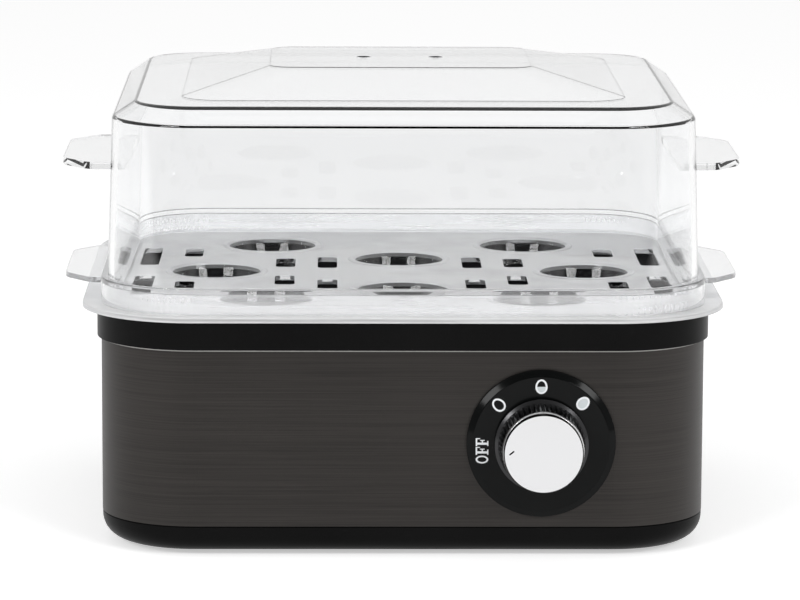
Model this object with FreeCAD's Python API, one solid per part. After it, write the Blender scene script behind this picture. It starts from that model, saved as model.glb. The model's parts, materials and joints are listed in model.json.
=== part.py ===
import FreeCAD, Part
import math
import os

# Electric egg cooker for eight eggs. Lengths are in millimetres and Z points up. The origin is
# on the surface that the cooker stands on, under the middle of its body. The dial faces -Y.
# From the bottom up it is a moulded cover on rubber feet, a sheet-metal band, a moulded frame
# with the heating pan in it, a clear egg rack that lifts off and a clear lid that lifts off.

Vector = FreeCAD.Vector
UP = Vector(0, 0, 1)
ALONG_X = Vector(1, 0, 0)
TO_FRONT = Vector(0, -1, 0)
TO_BACK = Vector(0, 1, 0)
LEFT_AND_RIGHT = (-1, 1)
CORNER_SIGNS = ((-1, -1), (1, -1), (1, 1), (-1, 1))

# Clearances and the one overrun that every cut uses
overrun = 1.0
hand_gap = 0.4
moulded_gap = 0.2
seat_gap = 0.05
running_gap = 0.05

# Upper frame
frame_width = 210.0
frame_depth = 188.0
frame_corner = 34.0
frame_height = 10.2
frame_edge = 1.2
frame_rim = 6.5
ledge_drop = 6.0
ledge_reach = 6.0
ledge_thickness = 2.2
lip_height = 4.0
lip_wall = 1.8
post_radius = 4.2
post_inset = 10.0

# Sheet-metal band round the body
casing_inset = 1.4
casing_sheet = 0.8
casing_height = 60.8

# Bottom cover
cover_height = 9.5
cover_inset = 0.1
cover_wall = 2.2
cover_round = 8.0
cover_edge = 0.5
boss_wall = 1.8
boss_height = 18.0
vent_width = 3.0
vent_length = 30.0
vent_pitch = 7.0
vent_count = 6
vent_offset = 27.0
vent_corner = 1.2

# Rubber feet
foot_rise = 1.5
foot_sink = 1.0
foot_radius = 7.0
foot_inset_x = 33.0
foot_inset_y = 30.0
foot_edge = 0.4

# Screws that hold the cover to the frame
screw_radius = 1.5
screw_head_radius = 2.9
screw_head = 2.2
screw_length = 16.0
screw_sink = 12.0

# Heating pan and its seal
pan_sheet = 1.2
pan_depth = 18.7
pan_corner = 36.0
pan_draft = 3.0
pan_round = 6.0
pan_air = 1.3
seal_thickness = 1.5

# Studs, nuts and brackets under the pan
stud_radius = 2.0
nut_width = 7.0
nut_height = 3.2
nut_overhang = 1.5
bracket_sheet = 1.5
bracket_width = 16.0
bracket_stand = 3.4
bracket_foot = 6.0
bracket_nut_gap = 0.6
bracket_tongue = 6.5
small_stud_radius = 1.5
small_nut_width = 5.5
small_nut_height = 2.4

# Tubular heating element and its clamp
element_radius = 3.25
element_margin_x = 30.2
element_margin_y = 31.2
element_bend = 16.0
element_end_bend = 9.0
element_gap = 26.0
element_shift = 4.0
element_tail = 5.0
bead_radius = 2.6
bead_length = 3.5
tab_width = 6.3
tab_thickness = 0.8
tab_length = 8.0
clamp_sheet = 1.5
clamp_width = 12.0
clamp_overhang = 5.0

# Overheating cut-out and thermal fuse, both against the pan
cutout_radius = 8.0
cutout_cap = 2.6
cutout_body = 7.5
cutout_ear_pitch = 25.0
cutout_ear_width = 8.0
cutout_ear_sheet = 0.8
cutout_place_share = 0.4898
cutout_tab_pitch = 8.0
fuse_radius = 2.4
fuse_length = 40.0
fuse_place_share = 0.5714
fuse_clip_sheet = 0.6
fuse_clip_width = 8.0
fuse_clip_wing = 5.0

# Dial: the places that the regulator, dial plate and knob share
dial_offset_share = 0.2205
dial_height_share = 0.477

# Rotary regulator behind the dial
regulator_width = 31.0
regulator_depth = 12.0
regulator_edge = 2.0
regulator_cavity_wall = 1.15
regulator_cavity_depth = 7.0
regulator_plate = 1.0
regulator_plate_edge = 3.0
bush_radius = 4.8
bush_length = 2.4
shaft_radius = 3.0
shaft_flat = 0.9
shaft_tail = 6.2
cam_air = 0.8
cam_thickness = 4.0
cam_setback = 1.0
cam_notch = 1.3
cam_step_angle = 48.0
cam_step_count = 4
fixing_margin = 3.1
fixing_radius = 1.45
fixing_head_radius = 2.6
fixing_head = 1.1
fixing_length = 6.0
regulator_tab_pitch = 14.0
regulator_tab_rise = 7.0

# Dial plate
dial_radius = 25.25
dial_thickness = 2.4
dial_face = 1.0
dial_wall = 2.6
dial_bevel = 1.1
dial_hole_air = 1.2
peg_radius = 1.5
peg_circle = 19.0
peg_barb = 0.4
peg_barb_length = 2.0

# Knob
knob_air = 0.8
knob_skirt_radius = 15.9
knob_skirt = 1.7
knob_neck_radius = 14.7
knob_shoulder_radius = 14.15
knob_length = 16.0
knob_neck = 0.8
knob_bevel = 0.7
knob_boss = 2.7
knob_edge = 0.3
knob_wall = 1.8
knob_top = 2.0
flute_radius = 0.45
flute_margin = 0.4
flute_count = 48
mark_length = 2.4
mark_width = 0.7
mark_depth = 0.4
mark_inset = 1.6
hub_radius = 5.6
hub_top = 1.2
rib_thickness = 1.2
rib_count = 4
shaft_air = 0.6
clip_sheet = 0.5
clip_width = 4.0
clip_length = 8.0

# Cord gland and terminal block
gland_offset_share = 0.2857
gland_rise = 16.0
gland_bore = 3.6
gland_neck_radius = 6.2
gland_flange_radius = 8.5
gland_flange = 2.6
gland_collar = 2.0
gland_tail_radius = 5.4
gland_tail = 8.0
gland_edge = 0.8
block_length = 30.0
block_depth = 16.0
block_height = 12.0
block_ways = 3
block_way_radius = 2.0
block_groove = 1.6
block_back = 26.0
block_boss_radius = 3.2
block_boss = 5.0
block_screw_radius = 1.25
block_screw_head_radius = 2.4
block_screw_head = 1.6
block_screw_sink = 3.0
block_screw_pitch = 10.0

# Egg rack
rack_overhang = 5.0
rack_sheet = 1.8
rim_inset_x = 1.4
rim_outset_y = 1.0
rim_corner = 33.0
rim_wall = 2.0
rim_height = 7.0
rack_edge = 0.6
rack_lip_wall = 1.6
rack_lip_air = 0.6
egg_radius = 17.15
egg_mouth = 1.6
egg_collar = 9.0
egg_collar_draft = 0.8
egg_collar_wall = 1.5
egg_bead = 0.5
egg_bead_width = 1.3
side_slot_width = 8.0
inner_slot_width = 7.0
slot_corner = 1.8

# Finger tabs of the rack and the lid
finger_reach = 13.0
finger_tip = 49.0
finger_root = 74.0
finger_slant = 9.5
finger_corner = 3.0
rack_finger_rise = 1.8
rack_finger_sheet = 1.8
lid_finger_rise = 32.7
lid_finger_sheet = 2.5
lid_finger_extra = 0.6

# Lid
lid_wall = 2.0
lid_flange = 1.9
lid_plug = 5.8
lid_height = 54.9
lid_draft = 1.8
lid_chamfer_in = 8.0
lid_chamfer_up = 5.4
panel_width = 152.0
panel_depth = 140.0
panel_corner = 14.0
panel_back = 4.0
panel_rise = 4.0
plateau_width = 93.0
plateau_depth = 66.0
plateau_corner = 8.0
plateau_back = 33.0
steam_radius = 2.5
steam_pitch = 26.0

# Places of the eggs and slots, as shares of half the rack's width and depth inside its rim
egg_shares = ((-0.456, 0.640), (0.456, 0.640), (-0.647, 0), (0.647, 0),
              (-0.463, -0.634), (0.463, -0.634), (0, 0.296), (0, -0.425))
side_slot_shares = ((0.903, 0.359, 0.423), (0.903, -0.320, 0.423))
inner_slot_shares = ((0.256, 0.214, 0.268), (0.256, -0.323, 0.268), (0.737, 0.452, 0.194),
                     (0.404, 0.208, 0.212), (0.404, -0.206, 0.212), (0.750, -0.344, 0.215))

# Levels that follow from the sizes
cover_top = foot_rise + cover_height
casing_top = cover_top + casing_height
frame_top = casing_top + frame_height
ledge_top = frame_top - ledge_drop
ledge_under = ledge_top - ledge_thickness
flange_under = ledge_top + seal_thickness
flange_top = flange_under + pan_sheet
pan_under = flange_under - pan_depth
cover_floor = foot_rise + cover_wall
boss_top = foot_rise + boss_height
plate_top = frame_top + rack_sheet
rim_top = plate_top + rim_height
lid_flange_top = rim_top + lid_flange
lid_shoulder = lid_flange_top + lid_height
lid_top = lid_shoulder + lid_chamfer_up


def inset(plan, distance):
    """Moves a rounded rectangle's sides inwards by a distance, with its corners."""
    width, depth, corner = plan
    return width - 2 * distance, depth - 2 * distance, corner - distance


# Plans as width, depth and corner radius
frame_plan = (frame_width, frame_depth, frame_corner)
casing_plan = inset(frame_plan, casing_inset)
casing_inside = inset(casing_plan, casing_sheet)
cover_plan = inset(casing_plan, cover_inset)
lip_plan = inset(casing_inside, moulded_gap)
opening_plan = inset(frame_plan, frame_rim)
seat_plan = inset(opening_plan, hand_gap)
pan_inset = ledge_reach + pan_air
pan_plan = (opening_plan[0] - 2 * pan_inset, opening_plan[1] - 2 * pan_inset, pan_corner)
ledge_plan = inset(pan_plan, -pan_air)
floor_plan = inset(pan_plan, pan_draft)
rack_plan = inset(frame_plan, -rack_overhang)
rim_plan = (frame_width - 2 * rim_inset_x, frame_depth + 2 * rim_outset_y, rim_corner)
rim_inside = inset(rim_plan, rim_wall)
lid_plan = inset(rim_inside, hand_gap)
panel_plan = (panel_width, panel_depth, panel_corner)
plateau_plan = (plateau_width, plateau_depth, plateau_corner)

# Places that several pieces share
casing_front = -casing_plan[1] / 2
casing_back = casing_plan[1] / 2
dial_offset = frame_width * dial_offset_share
dial_height = cover_top + casing_height * dial_height_share
knob_start = dial_thickness + knob_air
fixing_pitch = regulator_width - 2 * fixing_margin
regulator_cavity_radius = fixing_pitch / 2 - fixing_radius - regulator_cavity_wall
cam_radius = regulator_cavity_radius - cam_air
knob_face_radius = knob_shoulder_radius - knob_bevel
gland_offset = frame_width * gland_offset_share
gland_height = cover_top + gland_rise
post_reach = (casing_inside[2] - post_inset) * math.sqrt(0.5)
post_x = casing_inside[0] / 2 - casing_inside[2] + post_reach
post_y = casing_inside[1] / 2 - casing_inside[2] + post_reach
foot_x = cover_plan[0] / 2 - foot_inset_x
foot_y = cover_plan[1] / 2 - foot_inset_y
element_height = pan_under - seat_gap - element_radius
element_width = floor_plan[0] - 2 * element_margin_x
element_depth = floor_plan[1] - 2 * element_margin_y
clamp_length = element_width + 2 * (element_radius + clamp_overhang)
element_room = element_depth / 2 - element_radius - clamp_width / 2
cutout_back = clamp_width / 2 + element_room * cutout_place_share
fuse_back = clamp_width / 2 + element_room * fuse_place_share
clamp_top = element_height - element_radius - seat_gap
bracket_top = pan_under - bracket_stand
bracket_stud_x = clamp_length / 2 + bracket_nut_gap + nut_width / math.sqrt(3)
block_y = casing_back - casing_sheet - gland_collar - gland_tail - block_back


def outline(plan, z, back=0):
    """Closed wire of a rounded rectangle round the Z axis, or moved back from it."""
    width, depth, corner = plan
    reach_x = width / 2 - corner
    reach_y = depth / 2 - corner
    arcs = []
    for quarter, (side_x, side_y) in enumerate(((1, 1), (-1, 1), (-1, -1), (1, -1))):
        points = []
        for share in (0, 0.5, 1):
            angle = math.pi / 2 * (quarter + share)
            x = side_x * reach_x + corner * math.cos(angle)
            y = side_y * reach_y + corner * math.sin(angle)
            points.append(Vector(x, y + back, z))
        arcs.append(Part.Arc(*points).toShape())
    edges = []
    for arc, following in zip(arcs, arcs[1:] + arcs[:1]):
        edges.append(arc)
        edges.append(Part.makeLine(arc.Vertexes[-1].Point, following.Vertexes[0].Point))
    return Part.Wire(edges)


def slab(plan, low, high):
    """Upright prism of a rounded rectangle between two levels."""
    return Part.Face(outline(plan, low)).extrude(UP * (high - low))


def tapered(plan_low, low, plan_high, high):
    """Solid that runs straight from one rounded rectangle to another."""
    return Part.makeLoft([outline(plan_low, low), outline(plan_high, high)], True, True)


def hipped(low, high):
    """Raised panel of the lid: it slopes up from all sides to a plateau that lies towards the back."""
    return Part.makeLoft([outline(panel_plan, low, panel_back), outline(plateau_plan, high, plateau_back)],
                         True, True)


def ring(outer, inner, low, high):
    """Upright wall between two rounded rectangles."""
    return slab(outer, low, high).cut(slab(inner, low - overrun, high + overrun))


def box(centre, size_x, size_y, low, high):
    """Upright block round a point of the plan."""
    corner = Vector(centre.x - size_x / 2, centre.y - size_y / 2, low)
    return Part.makeBox(size_x, size_y, high - low, corner)


def rod(radius, start, end):
    """Round bar from one point to another."""
    return Part.makeCylinder(radius, (end - start).Length, start, end - start)


def post(radius, x, y, low, high):
    """Upright round bar between two levels."""
    return rod(radius, Vector(x, y, low), Vector(x, y, high))


def revolved(edges, base, axis):
    """Solid of revolution of a closed outline that is drawn with X as radius and Z along the axis."""
    shape = Part.Face(Part.Wire(edges)).revolve(Vector(0, 0, 0), UP, 360)
    shape.Placement = FreeCAD.Placement(base, FreeCAD.Rotation(UP, axis))
    return shape


def turned(profile, base, axis):
    """Solid of revolution. The profile's points are radius and distance along the axis."""
    points = [Vector(radius, 0, along) for radius, along in profile]
    return revolved(Part.makePolygon(points + points[:1]).Edges, base, axis)


def joined(first, others):
    """One solid made of pieces that are moulded or welded together."""
    return first.multiFuse(others).removeSplitter()


def without(shape, cutters):
    """The shape with every cutter taken out."""
    return shape.cut(Part.makeCompound(cutters))


def edges_at(shape, level):
    """Edges that lie wholly at one level."""
    near = seat_gap
    found = []
    for edge in shape.Edges:
        bounds = edge.BoundBox
        if abs(bounds.ZMin - level) < near and abs(bounds.ZMax - level) < near:
            found.append(edge)
    return found


def edges_at_depth(shape, y):
    """Edges that lie wholly in one plane across the Y axis."""
    near = seat_gap
    found = []
    for edge in shape.Edges:
        bounds = edge.BoundBox
        if abs(bounds.YMin - y) < near and abs(bounds.YMax - y) < near:
            found.append(edge)
    return found


def bent_path(points, bends):
    """Wire of straight runs joined by tangent arcs, with one radius for each corner."""
    edges = []
    start = points[0]
    for before, corner, after, bend in zip(points, points[1:], points[2:], bends):
        back = (before - corner).normalize()
        ahead = (after - corner).normalize()
        half_turn = (math.pi - back.getAngle(ahead)) / 2
        run = bend * math.tan(half_turn)
        inward = (back + ahead).normalize()
        enter = corner + back * run
        middle = corner + inward * (bend / math.cos(half_turn) - bend)
        leave = corner + ahead * run
        edges.append(Part.makeLine(start, enter))
        edges.append(Part.Arc(enter, middle, leave).toShape())
        start = leave
    edges.append(Part.makeLine(start, points[-1]))
    return Part.Wire(edges)


def tube(points, bends, radius):
    """Round bar bent along a path."""
    path = bent_path(points, bends)
    section = Part.Wire(Part.makeCircle(radius, points[0], points[1] - points[0]))
    return path.makePipeShell([section], True, False)


def at_dial(distance, across=0.0, rise=0.0):
    """Point in front of the casing's face, measured from the dial's axis."""
    return Vector(dial_offset + across, casing_front - distance, dial_height + rise)


def slot_cutter(x, y, plan, low, high):
    """Upright prism of a slot with rounded corners."""
    cutter = slab(plan, low, high)
    cutter.translate(Vector(x, y, 0))
    return cutter


def bottom_cover():
    """Moulded tray with screw bosses, foot recesses, vents and a lip for the casing."""
    body = slab(cover_plan, foot_rise, cover_top)
    body = body.makeFillet(cover_round, edges_at(body, foot_rise))
    body = body.makeChamfer(cover_edge, edges_at(body, cover_top))
    hollow = slab(inset(cover_plan, cover_wall), cover_floor, cover_top + overrun)
    hollow = hollow.makeFillet(cover_round - cover_wall, edges_at(hollow, cover_floor))
    body = body.cut(hollow)
    lip = ring(lip_plan, inset(lip_plan, lip_wall), cover_top - cover_wall, cover_top + lip_height)
    bosses = []
    cutters = []
    well_radius = screw_head_radius + moulded_gap
    root = cover_floor - cover_wall / 2
    for side_x, side_y in CORNER_SIGNS:
        x, y = side_x * post_x, side_y * post_y
        bosses.append(post(well_radius + boss_wall, x, y, root, boss_top))
        cutters.append(post(well_radius, x, y, foot_rise - overrun, foot_rise + screw_sink))
        cutters.append(post(screw_radius + moulded_gap, x, y, foot_rise, boss_top + overrun))
        cutters.append(post(foot_radius + moulded_gap, side_x * foot_x, side_y * foot_y,
                            foot_rise - overrun, foot_rise + foot_sink))
    for side in LEFT_AND_RIGHT:
        x = gland_offset + side * block_screw_pitch / 2
        bosses.append(post(block_boss_radius, x, block_y, root, cover_floor + block_boss))
        cutters.append(post(block_screw_radius + seat_gap, x, block_y, cover_floor + moulded_gap,
                            cover_floor + block_boss + overrun))
        for place in range(vent_count):
            across = (place - (vent_count - 1) / 2) * vent_pitch
            cutters.append(slot_cutter(across, side * vent_offset, (vent_width, vent_length, vent_corner),
                                       foot_rise - overrun, cover_floor + overrun))
    return without(joined(body, [lip] + bosses), cutters)


def foot_pads():
    """Four rubber discs sunk into the bottom cover."""
    pads = []
    for side_x, side_y in CORNER_SIGNS:
        pad = post(foot_radius, side_x * foot_x, side_y * foot_y, 0, foot_rise + foot_sink)
        pads.append(pad.makeChamfer(foot_edge, edges_at(pad, 0)))
    return Part.makeCompound(pads)


def bottom_screws():
    """Four screws through the cover's bosses into the frame's posts."""
    screws = []
    seat = foot_rise + screw_sink
    for side_x, side_y in CORNER_SIGNS:
        x, y = side_x * post_x, side_y * post_y
        head = post(screw_head_radius, x, y, seat - screw_head, seat)
        shank = post(screw_radius, x, y, seat - screw_head / 2, seat + screw_length)
        screws.append(joined(head, [shank]))
    return Part.makeCompound(screws)


def casing_band():
    """Sheet-metal band with holes for the bush, screws and pegs in front and the gland behind."""
    band = ring(casing_plan, casing_inside, cover_top, casing_top)
    depth = casing_sheet + overrun
    cutters = [rod(bush_radius + moulded_gap, at_dial(overrun), at_dial(-depth))]
    for side in LEFT_AND_RIGHT:
        rise = side * fixing_pitch / 2
        across = side * peg_circle
        cutters.append(rod(fixing_radius + moulded_gap, at_dial(overrun, 0, rise),
                           at_dial(-depth, 0, rise)))
        cutters.append(rod(peg_radius + moulded_gap, at_dial(overrun, across), at_dial(-depth, across)))
    outside = Vector(gland_offset, casing_back + overrun, gland_height)
    cutters.append(rod(gland_neck_radius + moulded_gap, outside, outside - TO_BACK * (depth + overrun)))
    return without(band, cutters)


def upper_frame():
    """Moulded frame with a rim, a ledge for the pan, a lip in the casing and four screw posts."""
    body = slab(frame_plan, casing_top, frame_top)
    body = body.makeFillet(frame_edge, edges_at(body, frame_top))
    body = body.fuse(slab(lip_plan, casing_top - lip_height, casing_top))
    body = body.cut(slab(opening_plan, ledge_top, frame_top + overrun))
    body = body.cut(slab(inset(lip_plan, lip_wall), casing_top - lip_height - overrun, ledge_under))
    body = body.cut(slab(ledge_plan, ledge_under - overrun, ledge_top + overrun))
    posts = []
    holes = []
    for side_x, side_y in CORNER_SIGNS:
        x, y = side_x * post_x, side_y * post_y
        posts.append(post(post_radius, x, y, boss_top, ledge_under + ledge_thickness / 2))
        holes.append(post(screw_radius + seat_gap, x, y, boss_top - overrun,
                          foot_rise + screw_sink + screw_length + overrun))
    return without(joined(body, posts), holes)


def pan_seal():
    """Flat silicone ring between the frame's ledge and the pan's flange."""
    return ring(seat_plan, ledge_plan, ledge_top, flange_under)


def heating_pan():
    """Pressed pan with a flange, and the studs that are welded under its floor."""
    outside = tapered(floor_plan, pan_under, pan_plan, flange_under)
    outside = outside.makeFillet(pan_round, edges_at(outside, pan_under))
    inside_high = inset(pan_plan, pan_sheet)
    floor = pan_under + pan_sheet
    inside = tapered(inset(floor_plan, pan_sheet), floor, inside_high, flange_under)
    inside = inside.makeFillet(pan_round - pan_sheet, edges_at(inside, floor))
    flange = slab(seat_plan, flange_under, flange_top)
    flange = flange.cut(slab(inside_high, flange_under - overrun, flange_top + overrun))
    middle = pan_under + pan_sheet / 2
    studs = [post(stud_radius, 0, element_shift, clamp_top - clamp_sheet - nut_height - nut_overhang, middle)]
    bracket_stud_end = bracket_top - bracket_sheet - nut_height - nut_overhang
    cutout_stud_end = pan_under - cutout_cap - cutout_ear_sheet - small_nut_height - nut_overhang
    for side in LEFT_AND_RIGHT:
        studs.append(post(stud_radius, side * bracket_stud_x, 0, bracket_stud_end, middle))
        studs.append(post(small_stud_radius, side * cutout_ear_pitch / 2, element_shift - cutout_back,
                          cutout_stud_end, middle))
    return joined(outside.cut(inside), [flange] + studs)


def nut(x, y, top, width, height, bore):
    """Hexagon nut under a level, round a stud."""
    corner_radius = width / math.sqrt(3)
    points = []
    for side in range(6):
        angle = math.pi / 3 * side
        reach_x = corner_radius * math.cos(angle)
        reach_y = corner_radius * math.sin(angle)
        points.append(Vector(x + reach_x, y + reach_y, top))
    prism = Part.Face(Part.makePolygon(points + points[:1])).extrude(UP * -height)
    return prism.cut(post(bore + seat_gap, x, y, top - height - overrun, top + overrun))


def pan_brackets():
    """Two bent strips that pull the pan down by bearing up against the frame's ledge."""
    brackets = []
    inner = bracket_stud_x - bracket_tongue
    riser = ledge_plan[0] / 2 + moulded_gap
    for side in LEFT_AND_RIGHT:
        tongue = Part.makeBox(riser + bracket_sheet - inner, bracket_width, bracket_sheet,
                              Vector(inner, -bracket_width / 2, bracket_top - bracket_sheet))
        wall = Part.makeBox(bracket_sheet, bracket_width, ledge_under - bracket_top + bracket_sheet,
                            Vector(riser, -bracket_width / 2, bracket_top - bracket_sheet))
        foot = Part.makeBox(bracket_foot, bracket_width, bracket_sheet,
                            Vector(riser, -bracket_width / 2, ledge_under - bracket_sheet))
        strip = joined(tongue, [wall, foot])
        hole = post(stud_radius + moulded_gap, bracket_stud_x, 0,
                    bracket_top - bracket_sheet - overrun, bracket_top + overrun)
        strip = strip.cut(hole)
        if side < 0:
            strip = strip.mirror(Vector(0, 0, 0), ALONG_X)
        brackets.append(strip)
    return Part.makeCompound(brackets)


def bracket_nuts():
    """Nuts on the two bracket studs."""
    top = bracket_top - bracket_sheet
    return Part.makeCompound([nut(side * bracket_stud_x, 0, top, nut_width, nut_height, stud_radius)
                              for side in LEFT_AND_RIGHT])


def element_end(side):
    """Point where the element's sheath ends, below its front run."""
    near_y = element_shift - element_depth / 2
    return Vector(side * element_gap / 2, near_y, element_height - element_end_bend - element_tail)


def heater_element():
    """Tubular element in one open loop with both ends turned down."""
    far_y = element_shift + element_depth / 2
    near_y = element_shift - element_depth / 2
    halves = []
    for side in LEFT_AND_RIGHT:
        halves.append([element_end(side), Vector(side * element_gap / 2, near_y, element_height),
                       Vector(side * element_width / 2, near_y, element_height),
                       Vector(side * element_width / 2, far_y, element_height)])
    points = halves[0] + halves[1][::-1]
    bends = [element_end_bend] + [element_bend] * (len(points) - 4) + [element_end_bend]
    return tube(points, bends, element_radius)


def heater_terminals():
    """Insulating bead and flat tab on each end of the element."""
    terminals = []
    for side in LEFT_AND_RIGHT:
        end = element_end(side)
        bead = rod(bead_radius, end, end - UP * bead_length)
        low = end.z - bead_length - tab_length
        tab = box(end, tab_width, tab_thickness, low, end.z - bead_length / 2)
        terminals.append(joined(bead, [tab]))
    return Part.makeCompound(terminals)


def element_clamp():
    """Bar across the loop that presses the element against the pan."""
    centre = Vector(0, element_shift, 0)
    bar = box(centre, clamp_length, clamp_width, clamp_top - clamp_sheet, clamp_top)
    return bar.cut(post(stud_radius + moulded_gap, 0, element_shift, clamp_top - clamp_sheet - overrun,
                        clamp_top + overrun))


def clamp_nut():
    """Nut on the clamp's stud."""
    return nut(0, element_shift, clamp_top - clamp_sheet, nut_width, nut_height, stud_radius)


def limiter_thermostat():
    """Overheating cut-out: cap against the pan, two ears, moulded body and two tabs."""
    y = element_shift - cutout_back
    top = pan_under - seat_gap
    ear_top = pan_under - cutout_cap
    body_end = ear_top - cutout_ear_sheet - cutout_body
    cap = post(cutout_radius, 0, y, ear_top - cutout_ear_sheet, top)
    ears = box(Vector(0, y, 0), cutout_ear_pitch + cutout_ear_width, cutout_ear_width,
               ear_top - cutout_ear_sheet, ear_top)
    body = post(cutout_radius - tab_thickness, 0, y, body_end, ear_top)
    tabs = []
    holes = []
    for side in LEFT_AND_RIGHT:
        centre = Vector(side * cutout_tab_pitch / 2, y, 0)
        tabs.append(box(centre, tab_thickness, tab_width, body_end - tab_length, body_end + tab_thickness))
        holes.append(post(small_stud_radius + moulded_gap, side * cutout_ear_pitch / 2, y,
                          body_end, top + overrun))
    return without(joined(cap, [ears, body] + tabs), holes)


def thermostat_nuts():
    """Small nuts on the cut-out's two studs."""
    y = element_shift - cutout_back
    top = pan_under - cutout_cap - cutout_ear_sheet
    return Part.makeCompound([nut(side * cutout_ear_pitch / 2, y, top, small_nut_width, small_nut_height,
                                  small_stud_radius) for side in LEFT_AND_RIGHT])


def fuse_place():
    """Middle of the fuse's sleeve, against the pan's floor."""
    return Vector(0, element_shift + fuse_back, pan_under - seat_gap - fuse_radius)


def thermal_fuse():
    """Thermal fuse in its sleeve."""
    half = ALONG_X * (fuse_length / 2)
    return rod(fuse_radius, fuse_place() - half, fuse_place() + half)


def fuse_clip():
    """Sheet strap over the fuse's sleeve, with two wings spot-welded to the pan."""
    centre = fuse_place()
    outer_radius = fuse_radius + seat_gap + fuse_clip_sheet
    half = ALONG_X * (fuse_clip_width / 2)
    strap = rod(outer_radius, centre - half, centre + half)
    cheeks = box(centre, fuse_clip_width, 2 * outer_radius, centre.z, pan_under)
    wing_reach = outer_radius + fuse_clip_wing
    wings = box(centre, fuse_clip_width, 2 * wing_reach, pan_under - fuse_clip_sheet, pan_under)
    clip = joined(strap, [cheeks, wings])
    inner_radius = fuse_radius + seat_gap
    reach = half * 2
    tunnel = rod(inner_radius, centre - reach, centre + reach)
    gap = box(centre, 2 * fuse_clip_width, 2 * inner_radius, centre.z, pan_under + overrun)
    above = box(centre, 2 * fuse_clip_width, 2 * (wing_reach + overrun), pan_under, pan_under + outer_radius)
    return without(clip, [tunnel, gap, above])


def regulator_body():
    """Moulded housing of the rotary regulator, open in front."""
    front = casing_front + casing_sheet + regulator_plate
    corner = Vector(dial_offset - regulator_width / 2, front, dial_height - regulator_width / 2)
    housing = Part.makeBox(regulator_width, regulator_depth, regulator_width, corner)
    housing = housing.makeChamfer(regulator_edge, edges_at_depth(housing, front + regulator_depth))
    inward = -casing_sheet - regulator_plate
    cutters = [rod(regulator_cavity_radius, at_dial(inward + overrun),
                   at_dial(inward - regulator_cavity_depth))]
    for side in LEFT_AND_RIGHT:
        rise = side * fixing_pitch / 2
        cutters.append(rod(fixing_radius + seat_gap, at_dial(inward + overrun, 0, rise),
                           at_dial(-fixing_length - overrun, 0, rise)))
    return without(housing, cutters)


def regulator_bracket():
    """Front plate of the regulator with the bush that the shaft turns in."""
    plate = Part.makeBox(regulator_width, regulator_plate, regulator_width,
                         Vector(dial_offset - regulator_width / 2, casing_front + casing_sheet,
                                dial_height - regulator_width / 2))
    upright = [edge for edge in plate.Edges if edge.BoundBox.YLength > regulator_plate / 2]
    plate = plate.makeFillet(regulator_plate_edge, upright)
    back = -casing_sheet - regulator_plate
    bush = rod(bush_radius, at_dial(back + regulator_plate / 2), at_dial(back + bush_length))
    cutters = [rod(shaft_radius + running_gap, at_dial(bush_length), at_dial(back - overrun))]
    for side in LEFT_AND_RIGHT:
        rise = side * fixing_pitch / 2
        cutters.append(rod(fixing_radius + seat_gap, at_dial(0, 0, rise),
                           at_dial(back - overrun, 0, rise)))
    return without(joined(plate, [bush]), cutters)


def regulator_screws():
    """Two screws through the casing into the regulator, hidden by the dial plate."""
    screws = []
    for side in LEFT_AND_RIGHT:
        rise = side * fixing_pitch / 2
        head = rod(fixing_head_radius, at_dial(0, 0, rise), at_dial(fixing_head, 0, rise))
        shank = rod(fixing_radius, at_dial(fixing_head / 2, 0, rise), at_dial(-fixing_length, 0, rise))
        screws.append(joined(head, [shank]))
    return Part.makeCompound(screws)


def regulator_tabs():
    """Two flat tabs behind the regulator."""
    tabs = []
    back = casing_front + casing_sheet + regulator_plate + regulator_depth
    for side in LEFT_AND_RIGHT:
        centre = Vector(dial_offset + side * regulator_tab_pitch / 2, back + tab_length / 2, 0)
        low = dial_height + regulator_tab_rise - tab_width / 2
        tabs.append(box(centre, tab_thickness, tab_length, low, low + tab_width))
    return Part.makeCompound(tabs)


def regulator_shaft():
    """Round shaft with a flat on the stretch that carries the knob."""
    tip = knob_start + knob_length - knob_top - hub_top - shaft_air
    tail = -casing_sheet - regulator_plate - shaft_tail
    shaft = rod(shaft_radius, at_dial(tail), at_dial(tip))
    flat = Part.makeBox(2 * shaft_radius, tip - knob_start + overrun, shaft_radius,
                        Vector(dial_offset - shaft_radius, casing_front - tip - overrun,
                               dial_height + shaft_radius - shaft_flat))
    return shaft.cut(flat)


def regulator_cam():
    """Cam disc on the shaft with a notch for each setting of the dial."""
    front = -casing_sheet - regulator_plate - cam_setback
    cam = rod(cam_radius, at_dial(front), at_dial(front - cam_thickness))
    back = front - cam_thickness
    cutters = [rod(shaft_radius + seat_gap, at_dial(front + overrun), at_dial(back - overrun))]
    for step in range(cam_step_count):
        angle = math.radians(cam_step_angle * step)
        across = -cam_radius * math.cos(angle)
        rise = -cam_radius * math.sin(angle)
        cutters.append(rod(cam_notch, at_dial(front + overrun, across, rise),
                           at_dial(back - overrun, across, rise)))
    return without(cam, cutters)


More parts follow.
